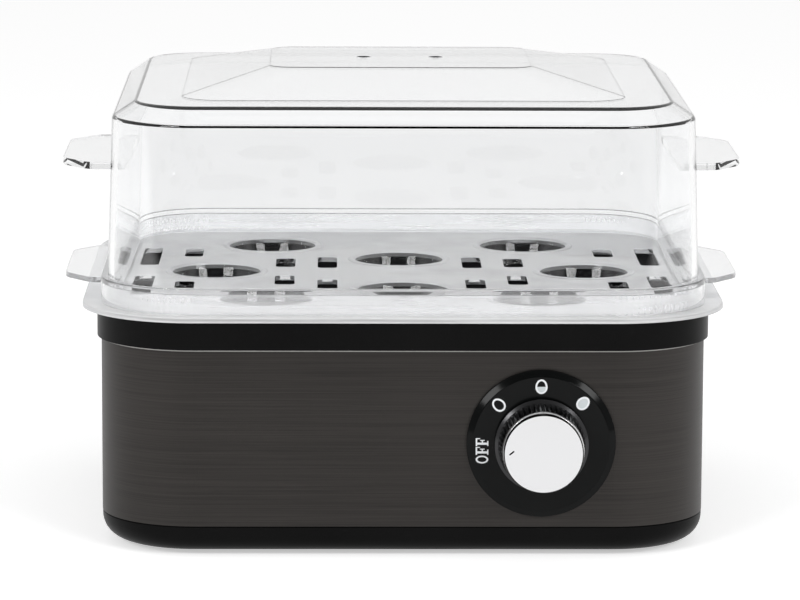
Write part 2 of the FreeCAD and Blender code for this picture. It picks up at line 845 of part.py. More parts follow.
def dial_plate():
    """Glossy disc on the casing, hollow behind, with two pegs that snap into the casing."""
    profile = [(0, 0), (dial_radius, 0), (dial_radius, dial_thickness - dial_bevel),
               (dial_radius - dial_bevel, dial_thickness), (0, dial_thickness)]
    disc = turned(profile, at_dial(0), TO_FRONT)
    hollow = rod(dial_radius - dial_wall, at_dial(-overrun), at_dial(dial_thickness - dial_face))
    disc = disc.cut(hollow)
    pegs = []
    barb_start = -casing_sheet - seat_gap
    for side in LEFT_AND_RIGHT:
        across = side * peg_circle
        peg_root = at_dial(dial_thickness - dial_face / 2, across)
        pegs.append(rod(peg_radius, peg_root, at_dial(barb_start, across)))
        barb = [(0, 0), (peg_radius + peg_barb, 0), (peg_radius - peg_barb, peg_barb_length),
                (0, peg_barb_length)]
        pegs.append(turned(barb, at_dial(barb_start, across), TO_BACK))
    hole = rod(shaft_radius + dial_hole_air, at_dial(-overrun), at_dial(dial_thickness + overrun))
    return joined(disc, pegs).cut(hole)


def knob_shell():
    """Plated knob: skirt, fluted neck, bevel and raised face, hollow behind, with a pointer mark."""
    neck_start = knob_skirt + knob_neck
    boss_start = knob_length - knob_boss
    bevel_start = boss_start - knob_bevel
    profile = [(0, 0), (knob_skirt_radius, 0), (knob_skirt_radius, knob_skirt),
               (knob_neck_radius, neck_start), (knob_shoulder_radius, bevel_start),
               (knob_face_radius, boss_start), (knob_face_radius, knob_length), (0, knob_length)]
    start = knob_start
    shell = turned(profile, at_dial(start), TO_FRONT)
    face_y = casing_front - start - knob_length
    shell = shell.makeFillet(knob_edge, edges_at_depth(shell, face_y))
    depth = knob_length - knob_top
    inner_radius = knob_shoulder_radius - knob_wall
    cutters = [rod(inner_radius, at_dial(start - overrun), at_dial(start + depth))]
    flute_low = start + neck_start + flute_margin
    flute_high = start + bevel_start - flute_margin
    for place in range(flute_count):
        angle = 2 * math.pi * (place + 0.5) / flute_count
        ends = []
        for radius, along in ((knob_neck_radius, flute_low), (knob_shoulder_radius, flute_high)):
            ends.append(at_dial(along, radius * math.cos(angle), radius * math.sin(angle)))
        cutters.append(rod(flute_radius, ends[0], ends[1]))
    mark = Part.makeBox(mark_length, mark_depth + overrun, mark_width,
                        Vector(dial_offset - knob_face_radius + mark_inset, face_y - overrun,
                               dial_height - mark_width / 2))
    return without(shell, cutters + [mark])


def knob_core():
    """Moulded core of the knob: hub with a flatted bore, ribs and a disc under the face."""
    start = knob_start
    depth = knob_length - knob_top
    radius = knob_shoulder_radius - knob_wall - seat_gap
    disc = rod(radius, at_dial(start + depth - hub_top), at_dial(start + depth))
    hub = rod(hub_radius, at_dial(start), at_dial(start + depth - hub_top / 2))
    ribs = []
    for place in range(rib_count):
        rib = Part.makeBox(radius, depth - hub_top / 2 - knob_skirt, rib_thickness,
                           Vector(0, -start - depth + hub_top / 2, -rib_thickness / 2))
        rib.rotate(Vector(0, 0, 0), TO_BACK, 360 * place / rib_count)
        rib.translate(at_dial(0))
        ribs.append(rib)
    core = joined(disc, [hub] + ribs)
    edge = rod(radius, at_dial(start), at_dial(start + depth))
    bore_end = start + depth - hub_top
    bore = rod(shaft_radius + seat_gap, at_dial(start - overrun), at_dial(bore_end))
    flat = Part.makeBox(2 * hub_radius, bore_end - start + 2 * overrun, hub_radius,
                        Vector(dial_offset - hub_radius, casing_front - bore_end - overrun,
                               dial_height + shaft_radius - shaft_flat + clip_sheet + 2 * seat_gap))
    return core.common(edge).cut(bore.cut(flat))


def knob_clip():
    """Leaf spring between the shaft's flat and the knob's bore."""
    low = dial_height + shaft_radius - shaft_flat + seat_gap
    middle = casing_front - knob_start - (knob_length - knob_top - hub_top) / 2
    leaf = Part.makeBox(clip_width, clip_length, clip_sheet,
                        Vector(dial_offset - clip_width / 2, middle - clip_length / 2, low))
    bore = rod(shaft_radius, at_dial(0), at_dial(knob_start + knob_length))
    return leaf.common(bore)


def cord_gland():
    """Bush in the back of the casing that the supply lead passes through."""
    collar_end = -casing_sheet - gland_collar
    tail_end = collar_end - gland_tail
    collar_radius = gland_flange_radius - gland_edge
    profile = [(gland_bore, tail_end), (gland_tail_radius, tail_end), (gland_tail_radius, collar_end),
               (collar_radius, collar_end), (collar_radius, -casing_sheet),
               (gland_neck_radius, -casing_sheet), (gland_neck_radius, 0), (gland_flange_radius, 0),
               (gland_flange_radius, gland_flange - gland_edge), (collar_radius, gland_flange),
               (gland_bore, gland_flange)]
    return turned(profile, Vector(gland_offset, casing_back, gland_height), TO_BACK)


def terminal_block():
    """Three-way screw terminal block on two bosses of the bottom cover."""
    low = cover_floor + block_boss
    high = low + block_height
    block = box(Vector(gland_offset, block_y, 0), block_length, block_depth, low, high)
    cutters = []
    way_pitch = block_length / block_ways
    for place in range(block_ways):
        x = gland_offset + (place - (block_ways - 1) / 2) * way_pitch
        front = Vector(x, block_y - block_depth / 2 - overrun, low + block_height / 2)
        cutters.append(rod(block_way_radius, front, front + TO_BACK * (block_depth + 2 * overrun)))
    for side in LEFT_AND_RIGHT:
        x = gland_offset + side * block_screw_pitch / 2
        cutters.append(box(Vector(x, block_y, 0), block_groove, block_depth + 2 * overrun,
                           high - block_groove, high + overrun))
        cutters.append(post(block_screw_radius + moulded_gap, x, block_y, low - overrun, high + overrun))
        cutters.append(post(block_screw_head_radius + moulded_gap, x, block_y,
                            high - block_screw_sink, high + overrun))
    return without(block, cutters)


def block_screws():
    """Two screws that hold the terminal block on its bosses."""
    screws = []
    seat = cover_floor + block_boss + block_height - block_screw_sink
    for side in LEFT_AND_RIGHT:
        x = gland_offset + side * block_screw_pitch / 2
        head = post(block_screw_head_radius, x, block_y, seat, seat + block_screw_head)
        shank = post(block_screw_radius, x, block_y, cover_floor + 2 * moulded_gap,
                     seat + block_screw_head / 2)
        screws.append(joined(head, [shank]))
    return Part.makeCompound(screws)


def finger_tab(outer_x, inner_x, low, sheet):
    """Right-hand finger tab: a plate with slanted ends that stands out from a wall."""
    tip = finger_tip / 2
    root = finger_root / 2
    shoulder = outer_x - finger_slant
    points = [Vector(inner_x, -root, low), Vector(shoulder, -root, low), Vector(outer_x, -tip, low),
              Vector(outer_x, tip, low), Vector(shoulder, root, low), Vector(inner_x, root, low)]
    plate = Part.Face(Part.makePolygon(points + points[:1])).extrude(UP * sheet)
    upright = []
    for edge in plate.Edges:
        bounds = edge.BoundBox
        if bounds.ZLength > sheet / 2 and bounds.XMin > inner_x + overrun:
            upright.append(edge)
    return plate.makeFillet(finger_corner, upright)


def finger_pair(outer_x, inner_x, low, sheet):
    """Finger tabs on both sides."""
    right = finger_tab(outer_x, inner_x, low, sheet)
    return [right, right.mirror(Vector(0, 0, 0), ALONG_X)]


def egg_collar_outside(place):
    """Tapered collar under the plate and bead on top of it, both still solid."""
    throat = egg_radius - egg_mouth + egg_collar_wall
    collar = [(0, -egg_collar), (throat - egg_collar_draft, -egg_collar), (throat, -rack_sheet / 2),
              (0, -rack_sheet / 2)]
    foot = egg_radius + egg_bead_width
    bead = [(0, -rack_sheet / 2), (foot, -rack_sheet / 2), (foot, 0), (egg_radius, egg_bead), (0, egg_bead)]
    return [turned(collar, place, UP), turned(bead, place, UP)]


def egg_hole(place):
    """Cutter of one egg hole: a tapered collar with a mouth that is rounded in section."""
    throat = egg_radius - egg_mouth
    throat_level = egg_bead - egg_mouth
    rise = egg_mouth * (1 - math.sqrt(0.5))
    low = -egg_collar - overrun
    high = egg_bead + overrun
    foot = throat - egg_collar_draft * (throat_level - low) / (throat_level + egg_collar)
    corners = [Vector(egg_radius, 0, egg_bead), Vector(egg_radius, 0, high), Vector(0, 0, high),
               Vector(0, 0, low), Vector(foot, 0, low), Vector(throat, 0, throat_level)]
    mouth = Part.Arc(corners[-1], Vector(throat + rise, 0, egg_bead - rise), corners[0])
    return revolved(Part.makePolygon(corners).Edges + [mouth.toShape()], place, UP)


def egg_rack():
    """Clear rack: plate with a rim, a locating lip, eight egg collars, slots and finger tabs."""
    plate = slab(rack_plan, frame_top, plate_top)
    plate = plate.makeFillet(rack_edge, edges_at(plate, plate_top))
    rim = ring(rim_plan, rim_inside, plate_top - rack_sheet / 2, rim_top)
    lip_outside = inset(opening_plan, hand_gap)
    lip = ring(lip_outside, inset(lip_outside, rack_lip_wall), flange_top + rack_lip_air,
               frame_top + rack_sheet / 2)
    low = plate_top + rack_finger_rise
    tabs = finger_pair(frame_width / 2 + finger_reach, rim_plan[0] / 2 - rim_wall / 2, low, rack_finger_sheet)
    half_x = rim_inside[0] / 2
    half_y = rim_inside[1] / 2
    collars = []
    holes = []
    for share_x, share_y in egg_shares:
        place = Vector(share_x * half_x, share_y * half_y, plate_top)
        collars += egg_collar_outside(place)
        holes.append(egg_hole(place))
    slots = []
    for side in LEFT_AND_RIGHT:
        for width, table in ((side_slot_width, side_slot_shares), (inner_slot_width, inner_slot_shares)):
            for share_x, share_y, share_long in table:
                plan = (width, share_long * half_y, slot_corner)
                slots.append(slot_cutter(side * share_x * half_x, share_y * half_y, plan,
                                         frame_top - overrun, plate_top + overrun))
    return without(joined(plate, [rim, lip] + tabs + collars), holes + slots)


def lid():
    """Clear lid: plug, flange, drafted walls, chamfer, raised top panel, vents and finger tabs."""
    shoulder_plan = inset(lid_plan, lid_draft)
    top_plan = inset(shoulder_plan, lid_chamfer_in)
    plug_low = rim_top - lid_plug
    panel_top = lid_top + panel_rise
    outside = joined(slab(lid_plan, plug_low, lid_flange_top),
                     [slab(rim_plan, rim_top, lid_flange_top),
                      tapered(lid_plan, lid_flange_top, shoulder_plan, lid_shoulder),
                      tapered(shoulder_plan, lid_shoulder, top_plan, lid_top),
                      hipped(lid_top, panel_top)])
    slope = math.atan2(lid_chamfer_up, lid_chamfer_in)
    shoulder_drop = lid_wall * math.tan(math.pi / 4 - slope / 2)
    top_inset = lid_wall * math.tan(slope / 2)
    inner_low = inset(lid_plan, lid_wall)
    inner_shoulder = inset(shoulder_plan, lid_wall)
    inner_top = inset(top_plan, top_inset)
    inside = joined(slab(inner_low, plug_low - overrun, lid_flange_top),
                    [tapered(inner_low, lid_flange_top, inner_shoulder, lid_shoulder - shoulder_drop),
                     tapered(inner_shoulder, lid_shoulder - shoulder_drop, inner_top, lid_top - lid_wall),
                     hipped(lid_top - lid_wall, panel_top - lid_wall)])
    low = lid_flange_top + lid_finger_rise
    outer_x = frame_width / 2 + finger_reach + lid_finger_extra
    tabs = finger_pair(outer_x, shoulder_plan[0] / 2 - lid_wall, low, lid_finger_sheet)
    vents = []
    for side in LEFT_AND_RIGHT:
        vents.append(post(steam_radius, side * steam_pitch / 2, plateau_back, lid_shoulder,
                          panel_top + overrun))
    return without(joined(outside, tabs), [inside] + vents)


PIECES = (bottom_cover, foot_pads, bottom_screws, casing_band, upper_frame, pan_seal, heating_pan,
          pan_brackets, bracket_nuts, heater_element, heater_terminals, element_clamp, clamp_nut,
          limiter_thermostat, thermostat_nuts, thermal_fuse, fuse_clip, regulator_body,
          regulator_bracket, regulator_screws, regulator_tabs, regulator_shaft, regulator_cam,
          dial_plate, knob_shell, knob_core, knob_clip, cord_gland, terminal_block, block_screws,
          egg_rack, lid)

os.makedirs("parts", exist_ok=True)
for piece in PIECES:
    shape = piece()
    shape.exportStep("parts/" + piece.__name__ + ".step")
    state = "valid" if shape.isValid() else "BROKEN"
    print(piece.__name__, len(shape.Solids), "solids", round(shape.Volume), "cubic mm", state)
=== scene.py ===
"""Dressed model of a countertop electric egg cooker, in its studio.

Sizes in the classes are millimetres, as on a maker's drawing. Blender works in metres.
"""

import json
import logging
import math
from contextlib import contextmanager
from dataclasses import dataclass, field
from enum import Enum
from typing import Callable, Iterable, Iterator

import bmesh
import bpy
from mathutils import Matrix, Vector


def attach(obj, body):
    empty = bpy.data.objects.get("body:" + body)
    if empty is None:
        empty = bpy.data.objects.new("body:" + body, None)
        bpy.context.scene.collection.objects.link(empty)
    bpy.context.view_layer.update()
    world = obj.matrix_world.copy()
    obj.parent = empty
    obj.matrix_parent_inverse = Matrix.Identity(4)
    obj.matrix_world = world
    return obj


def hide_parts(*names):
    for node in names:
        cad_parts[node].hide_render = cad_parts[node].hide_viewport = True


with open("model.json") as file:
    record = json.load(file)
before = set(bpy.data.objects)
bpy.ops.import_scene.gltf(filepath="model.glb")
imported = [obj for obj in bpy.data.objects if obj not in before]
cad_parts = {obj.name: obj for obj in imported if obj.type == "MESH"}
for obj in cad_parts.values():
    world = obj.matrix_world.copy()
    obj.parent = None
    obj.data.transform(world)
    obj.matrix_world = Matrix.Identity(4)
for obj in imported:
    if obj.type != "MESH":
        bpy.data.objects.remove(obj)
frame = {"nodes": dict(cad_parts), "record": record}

MM = 0.001
# Millimetres that still count as one place, and share of an axis that counts as along it.
NEAR = 0.01
STEEP = 0.9
# How far a cutter stands past what it cuts.
PAST = 1.0
SMOOTH_BELOW = 40.0
UP = (0, 0, 1)
FRONT = (0, -1, 0)
Plan = tuple[float, float, float]
Point = tuple[float, float, float]
Colour = tuple[float, float, float]
Test = Callable[[Vector, Vector], bool]
log = logging.getLogger("egg_cooker")


def srgb(red: float, green: float, blue: float) -> Colour:
    """Turns a colour as a screen shows it, 0 to 255, into linear light."""
    shares = (value / 255 for value in (red, green, blue))
    return tuple(s / 12.92 if s <= 0.04045 else ((s + 0.055) / 1.055) ** 2.4 for s in shares)


def shades(colour: Colour, mottle: float) -> tuple[Colour, Colour]:
    """A darker and a lighter shade of a colour."""
    return tuple(tuple(c * (1 + way * mottle) for c in colour) for way in (-1, 1))


def inset(plan: Plan, distance: float) -> Plan:
    """Moves a rounded rectangle's sides inwards by a distance, with its corners."""
    return plan[0] - 2 * distance, plan[1] - 2 * distance, plan[2] - distance


def level_edges(level: float) -> Test:
    """Test for the edges that run level at one height."""
    return lambda middle, way: abs(middle.z - level) < NEAR and abs(way.z) < 1 - STEEP


def activate(*objects: bpy.types.Object) -> None:
    """Selects these objects alone, and makes the first one active."""
    bpy.ops.object.select_all(action="DESELECT")
    for one in objects:
        one.select_set(True)
    bpy.context.view_layer.objects.active = objects[0]


# Shader sheets


def operator(operation: str, swapped: bool = False) -> Callable[["Value", "Value | float"], "Value"]:
    """Makes the method of the number class that stands behind one of Python's operators."""

    def method(self: "Value", other: "Value | float") -> "Value":
        """Adds the operator's Math node."""
        return self._maths(operation, other, swapped=swapped)

    return method


class Value:
    """A number on a shader sheet, so that shader maths reads as Python."""

    def __init__(self, sheet: "Sheet", socket: bpy.types.NodeSocket) -> None:
        self.sheet = sheet
        self.socket = socket

    def _maths(self, operation: str, *others: "Value | float", swapped: bool = False) -> "Value":
        """Adds one Math node. The first of its other numbers comes before this one if swapped."""
        terms = [self, *others]
        if swapped:
            terms[0], terms[1] = terms[1], terms[0]
        node = self.sheet.node("Math", {"operation": operation}, dict(enumerate(terms)))
        return Value(self.sheet, node.outputs[0])

    __add__ = __radd__ = operator("ADD")
    __sub__, __rsub__ = operator("SUBTRACT"), operator("SUBTRACT", swapped=True)
    __mul__ = __rmul__ = operator("MULTIPLY")
    __truediv__ = operator("DIVIDE")
    __pow__ = operator("POWER")

    def __abs__(self) -> "Value":
        """Size without its sign."""
        return self._maths("ABSOLUTE")

    def above(self, limit: float) -> "Value":
        """1 where the number is above a limit, and 0 elsewhere."""
        return self._maths("GREATER_THAN", limit)

    def most(self, other: "Value | float") -> "Value":
        """The larger of two numbers."""
        return self._maths("MAXIMUM", other)

    def between(self, low: float, high: float, soft: float) -> "Value":
        """1 between two limits and 0 elsewhere, with a soft step at both."""
        return self.ramp(low - soft, low + soft) * (1 - self.ramp(high - soft, high + soft))

    def ramp(self, low: float, high: float, to_low: float = 0.0, to_high: float = 1.0) -> "Value":
        """Fits a stretch of the number to another stretch, smoothly and no further."""
        node = self.sheet.node("MapRange", {"interpolation_type": "SMOOTHSTEP"}, {
            "Value": self, "From Min": low, "From Max": high, "To Min": to_low, "To Max": to_high})
        return Value(self.sheet, node.outputs[0])


class Sheet:
    """The node tree of one material, world or lamp."""

    def __init__(self, tree: bpy.types.NodeTree) -> None:
        self.tree = tree
        self.tree.nodes.clear()

    def node(self, kind: str, settings: dict | None = None, sockets: dict | None = None) -> bpy.types.Node:
        """Adds a node.

        Args:
            kind: the node's type, without the word that all of them start with.
            settings: the node's own settings.
            sockets: what goes in each input, by name or number: a plain value, an output or a Value.

        Returns:
            The node.
        """
        made = self.tree.nodes.new("ShaderNode" + kind)
        for name, setting in (settings or {}).items():
            setattr(made, name, setting)
        for name, given in (sockets or {}).items():
            socket = made.inputs[name]
            source = given.socket if isinstance(given, Value) else given
            if isinstance(source, bpy.types.NodeSocket):
                self.tree.links.new(source, socket)
            elif isinstance(source, tuple) and len(source) == 3 and socket.type == "RGBA":
                socket.default_value = (*source, 1.0)
            else:
                socket.default_value = source
        return made

    def coordinates(self, scale: Point = (1, 1, 1)) -> bpy.types.NodeSocket:
        """Object coordinates, scaled."""
        here = self.node("TexCoord").outputs["Object"]
        return self.node("Mapping", {}, {"Vector": here, "Scale": scale}).outputs[0]

    def place(self) -> tuple[Value, Value, Value]:
        """Where a point is on the object, in millimetres."""
        parts = self.node("SeparateXYZ", {}, {0: self.node("TexCoord").outputs["Object"]}).outputs
        return tuple(Value(self, part) / MM for part in parts)

    def rays(self) -> tuple[Value, Value]:
        """1 for what is looked at, and 1 for what mirrors and clear plastic show."""
        path = self.node("LightPath").outputs
        mirrored = Value(self, path["Is Glossy Ray"]).most(Value(self, path["Is Transmission Ray"]))
        return Value(self, path["Is Camera Ray"]), mirrored

    def noise(self, scale: float, detail: float = 2.0, roughness: float = 0.5,
              stretch: Point = (1, 1, 1)) -> Value:
        """Soft noise on the object.

        Args:
            scale: waves per metre.
            detail: how many finer waves it adds.
            roughness: how strong the finer waves are.
            stretch: how much denser the waves are along each axis.

        Returns:
            The noise, about 0.5 on average.
        """
        found = self.node("TexNoise", {}, {"Vector": self.coordinates(stretch), "Scale": scale,
                                           "Detail": detail, "Roughness": roughness})
        return Value(self, found.outputs["Fac"])

    def blend(self, share: Value, first: Colour | bpy.types.NodeSocket,
              second: Colour | bpy.types.NodeSocket) -> bpy.types.NodeSocket:
        """Mixes two colours by a share."""
        mix = self.node("Mix", {"data_type": "RGBA"}, {0: share, 6: first, 7: second})
        return mix.outputs[2]

    def bump(self, height: Value, depth: float) -> bpy.types.NodeSocket:
        """Normal of a surface whose height, 0 to 1, stands up to a depth in millimetres."""
        return self.node("Bump", {}, {"Height": height, "Distance": depth * MM, "Strength": 1.0}).outputs[0]


# Finishes


@dataclass(frozen=True)
class Finish:
    """What every finish shares: its name and how it becomes a material."""

    name: str

    def material(self) -> bpy.types.Material:
        """Makes the finish's material once and returns it each time."""
        name = self.name + "_finish"
        found = bpy.data.materials.get(name)
        if found is None:
            found = bpy.data.materials.new(name)
            found.use_nodes = True
            sheet = Sheet(found.node_tree)
            sheet.node("OutputMaterial", {}, {"Surface": self.surface(sheet)})
        return found

    def surface(self, sheet: Sheet) -> bpy.types.NodeSocket:
        """Adds the finish's shader and returns its output."""
        raise NotImplementedError


class Lay(Enum):
    """How a metal's tool marks run."""

    ACROSS = (1.0, 1.0, 160.0)
    TURNED = (60.0, 1.0, 60.0)
    NONE = (1.0, 1.0, 1.0)


@dataclass(frozen=True)
class Moulding(Finish):
    """Moulded plastic, rubber or coating with a fine grain."""

    colour: Colour
    mottle: float = 0.25
    roughness: float = 0.42
    rough_spread: float = 0.12
    specular: float = 0.3
    grain: float = 0.35
    grain_depth: float = 0.02

    def surface(self, sheet: Sheet) -> bpy.types.NodeSocket:
        """Fine grain in the height, with slow changes of colour and gloss."""
        fine = sheet.noise(1.0 / (self.grain * MM), detail=3.0, roughness=0.6)
        slow = sheet.noise(22.0, detail=3.0)
        share = fine * 0.5 + slow * 0.5
        rough = slow * self.rough_spread * 2 + (self.roughness - self.rough_spread)
        return sheet.node("BsdfPrincipled", {}, {
            "Base Color": sheet.blend(share.ramp(0.3, 0.7), *shades(self.colour, self.mottle)),
            "Roughness": rough, "Specular IOR Level": self.specular,
            "Normal": sheet.bump(fine, self.grain_depth)}).outputs[0]


@dataclass(frozen=True)
class Metal(Finish):
    """Metal with tool marks along one lay."""

    colour: Colour
    lay: Lay = Lay.NONE
    mottle: float = 0.2
    roughness: float = 0.3
    rough_spread: float = 0.1
    metallic: float = 1.0
    mark_depth: float = 0.01
    mark_scale: float = 18.0

    def surface(self, sheet: Sheet) -> bpy.types.NodeSocket:
        """Streaks in colour, gloss and height."""
        streaks = sheet.noise(self.mark_scale, detail=4.0, roughness=0.65, stretch=self.lay.value)
        slow = sheet.noise(14.0, detail=2.0)
        share = streaks * 0.75 + slow * 0.25
        rough = streaks * self.rough_spread * 2 + (self.roughness - self.rough_spread)
        return sheet.node("BsdfPrincipled", {}, {
            "Base Color": self.tone(sheet, share.ramp(0.3, 0.7)),
            "Roughness": rough, "Metallic": self.metallic,
            "Normal": sheet.bump(streaks, self.mark_depth)}).outputs[0]

    def tone(self, sheet: Sheet, share: Value) -> bpy.types.NodeSocket:
        """Colour between the metal's dark and light shades."""
        return sheet.blend(share, *shades(self.colour, self.mottle))


@dataclass(frozen=True)
class EdgeHighlightMetal(Metal):
    """Sheet metal with a painted highlight: a bright line painted along its upper edge, standing in for
    light caught by the edge.
    """

    # Colour of the painted highlight line along the upper edge.
    edge: Colour = (0.3, 0.3, 0.3)
    edge_level: float = 0.0
    edge_width: float = 0.4

    def tone(self, sheet: Sheet, share: Value) -> bpy.types.NodeSocket:
        """The metal's colour, and the painted highlight line along the upper edge."""
        low = self.edge_level - self.edge_width
        # Painted highlight: a bright strip just below the edge's level.
        highlight_line = sheet.place()[2].ramp(low - self.edge_width * 0.3, low + self.edge_width * 0.3)
        return sheet.blend(highlight_line, Metal.tone(self, sheet, share), self.edge)


@dataclass(frozen=True)
class KnobPlating(Metal):
    """Plating of the knob: pale face and bevel; the neck and skirt are painted dark as a painted reflection
    of the dark dial and room, and the face's side and the groove under it near-black as a painted shadow.
    """

    # Painted reflection: dark colour of the neck and skirt.
    dark: Colour = (0.03, 0.03, 0.03)
    # Painted shadow: near-black side of the face and the groove under it.
    gap_shadow: Colour = (0.01, 0.01, 0.01)
    face_level: float = 0.0
    bevel_levels: tuple[float, float] = (0.0, 0.0)

    def tone(self, sheet: Sheet, share: Value) -> bpy.types.NodeSocket:
        """Colour by the distance towards the front: painted dark reflection on the sides, painted shadow
        round the face's side, plating colour on the bevel and face.
        """
        front = 0 - sheet.place()[1]
        bevel = front.between(*self.bevel_levels, 0.03)
        # Painted reflection up to the bevel, painted shadow beyond it.
        sides = sheet.blend(front.above(self.bevel_levels[1]), self.dark, self.gap_shadow)
        pale = bevel.most(front.above(self.face_level))
        return sheet.blend(pale, sides, Metal.tone(self, sheet, share))


@dataclass(frozen=True)
class Clear(Finish):
    """Clear moulded plastic that lets the lamps' light through."""

    tint: Colour = (0.972, 0.975, 0.978)
    shadow: Colour = (0.93, 0.935, 0.94)
    roughness: float = 0.015
    index: float = 1.5
    wave_depth: float = 0.005
    milk: float = 0.0
    rim_milk: float = 0.0
    streak: float = 0.3
    white: Colour = (0.8, 0.8, 0.805)

    def surface(self, sheet: Sheet) -> bpy.types.NodeSocket:
        """Glass with faint waves and haze from moulding, and a plain filter for rays from lamps."""
        waves = sheet.noise(28.0, detail=1.0)
        haze = sheet.noise(60.0, detail=3.0)
        dark = tuple(c * 0.985 for c in self.tint)
        rough = haze.ramp(0.45, 0.75, self.roughness * 0.5, self.roughness * 1.5)
        glass = sheet.node("BsdfPrincipled", {}, {
            "Base Color": sheet.blend(haze, self.tint, dark), "Roughness": rough, "IOR": self.index,
            "Transmission Weight": 1.0, "Normal": sheet.bump(waves, self.wave_depth)}).outputs[0]
        lamp = sheet.node("LightPath").outputs["Is Shadow Ray"]
        through = sheet.node("BsdfTransparent", {}, {"Color": self.shadow}).outputs[0]
        white = sheet.node("BsdfDiffuse", {}, {"Color": self.white}).outputs[0]
        streaks = sheet.noise(20.0, detail=3.0, stretch=(1.0, 1.0, 30.0)).ramp(0.35, 0.65, -1.0, 1.0)
        share = self.milkiness(sheet)
        cloud = share + share * share * streaks * self.streak
        cloudy = sheet.node("MixShader", {}, {0: cloud, 1: glass, 2: white})
        return sheet.node("MixShader", {}, {0: lamp, 1: cloudy.outputs[0], 2: through}).outputs[0]

    def milkiness(self, sheet: Sheet) -> Value:
        """Share of milky white, which is larger at the rim."""
        raise NotImplementedError


@dataclass(frozen=True)
class ClearRack(Clear):
    """Clear plastic whose plate is milky on its upper skin, and all through outside its rim."""

    rim: tuple[float, float, float] = (0.0, 0.0, 0.0)
    plate_top: float = 83.8
    border_milk: float = 0.0

    def milkiness(self, sheet: Sheet) -> Value:
        """Level decides inside a rounded rectangle, and another one outside it."""
        x, y, z = sheet.place()
        half_width, half_depth, corner = self.rim
        across = (abs(x) - (half_width - corner)).most(0.0)
        back = (abs(y) - (half_depth - corner)).most(0.0)
        outside = ((across ** 2 + back ** 2) ** 0.5).ramp(corner - 0.2, corner + 0.2)
        skin = z.ramp(self.plate_top - 0.3, self.plate_top - 0.1, 0.0, self.milk)
        border = z.ramp(self.plate_top + 0.1, self.plate_top + 0.3, self.border_milk, self.rim_milk)
        return skin * (1 - outside) + border * outside


@dataclass(frozen=True)
class ClearLid(Clear):
    """Clear plastic that is milkier below a level."""

    level: float = 0.0

    def milkiness(self, sheet: Sheet) -> Value:
        """Height decides."""
        return sheet.place()[2].ramp(self.level + 0.1, self.level - 0.1, self.milk, self.rim_milk)


@dataclass(frozen=True)
class Floor(Finish):
    """White studio floor that keeps the object's shadow."""

    colour: Colour
    lift: float
    dark_from: float = -0.55
    dark_full: float = -0.8

    def surface(self, sheet: Sheet) -> bpy.types.NodeSocket:
        """Matt floor, lifted to white where it is looked at, and dark to mirrors near the photographer."""
        cloud = sheet.noise(3.0)
        pale = tuple(c * 0.99 for c in self.colour)
        matt = sheet.node("BsdfDiffuse", {}, {"Color": sheet.blend(cloud, self.colour, pale)})
        looked_at, mirrored = sheet.rays()
        glow = sheet.node("Emission", {}, {"Color": (1.0, 1.0, 1.0),
                                           "Strength": looked_at.most(mirrored) * self.lift})
        lit = sheet.node("AddShader", {}, {0: matt.outputs[0], 1: glow.outputs[0]}).outputs[0]
        here = sheet.node("SeparateXYZ", {}, {0: sheet.coordinates()})
        near = Value(sheet, here.outputs["Y"]).ramp(self.dark_from, self.dark_full)
        dark = sheet.node("Emission", {}, {"Color": (0.02, 0.02, 0.02), "Strength": 1.0}).outputs[0]
        return sheet.node("MixShader", {}, {0: near * mirrored, 1: lit, 2: dark}).outputs[0]


# The band's bright line at its top edge is a painted highlight.
BAND_METAL = EdgeHighlightMetal("band_metal", srgb(48, 45, 43), lay=Lay.ACROSS, roughness=0.46, metallic=0.6,
                     mottle=0.3, mark_depth=0.02, edge=srgb(196, 195, 192), edge_level=71.8,
                     edge_width=0.55)
SIGN_PRINT = Moulding("sign_print", srgb(236, 238, 240), mottle=0.02, roughness=0.5, grain_depth=0.002)
SIGN_FILL = Moulding("sign_fill", srgb(206, 212, 214), mottle=0.04, roughness=0.5, grain_depth=0.002)
DIAL_GLOSS = Moulding("dial_gloss", srgb(12, 13, 13), mottle=0.08, roughness=0.12, rough_spread=0.04,
                      specular=0.1, grain=3.0, grain_depth=0.003)
# The knob's dark sides are a painted reflection and its near-black face side a painted shadow.
KNOB_PLATING = KnobPlating("knob_plating", srgb(216, 216, 217), lay=Lay.TURNED, roughness=0.2, mottle=0.02,
                           rough_spread=0.02, mark_depth=0.0005, dark=srgb(62, 62, 63),
                           gap_shadow=srgb(10, 10, 10), face_level=111.785, bevel_levels=(108.42, 109.08))
RACK_CLEAR = ClearRack("rack_clear", milk=0.5, rim_milk=0.1, rim=(101.6, 93.0, 31.0), border_milk=0.6)
LID_CLEAR = ClearLid("lid_clear", rim_milk=0.05, level=92.1)
STUDIO_FLOOR = Floor("studio_floor", (0.86, 0.86, 0.86), 0.5)

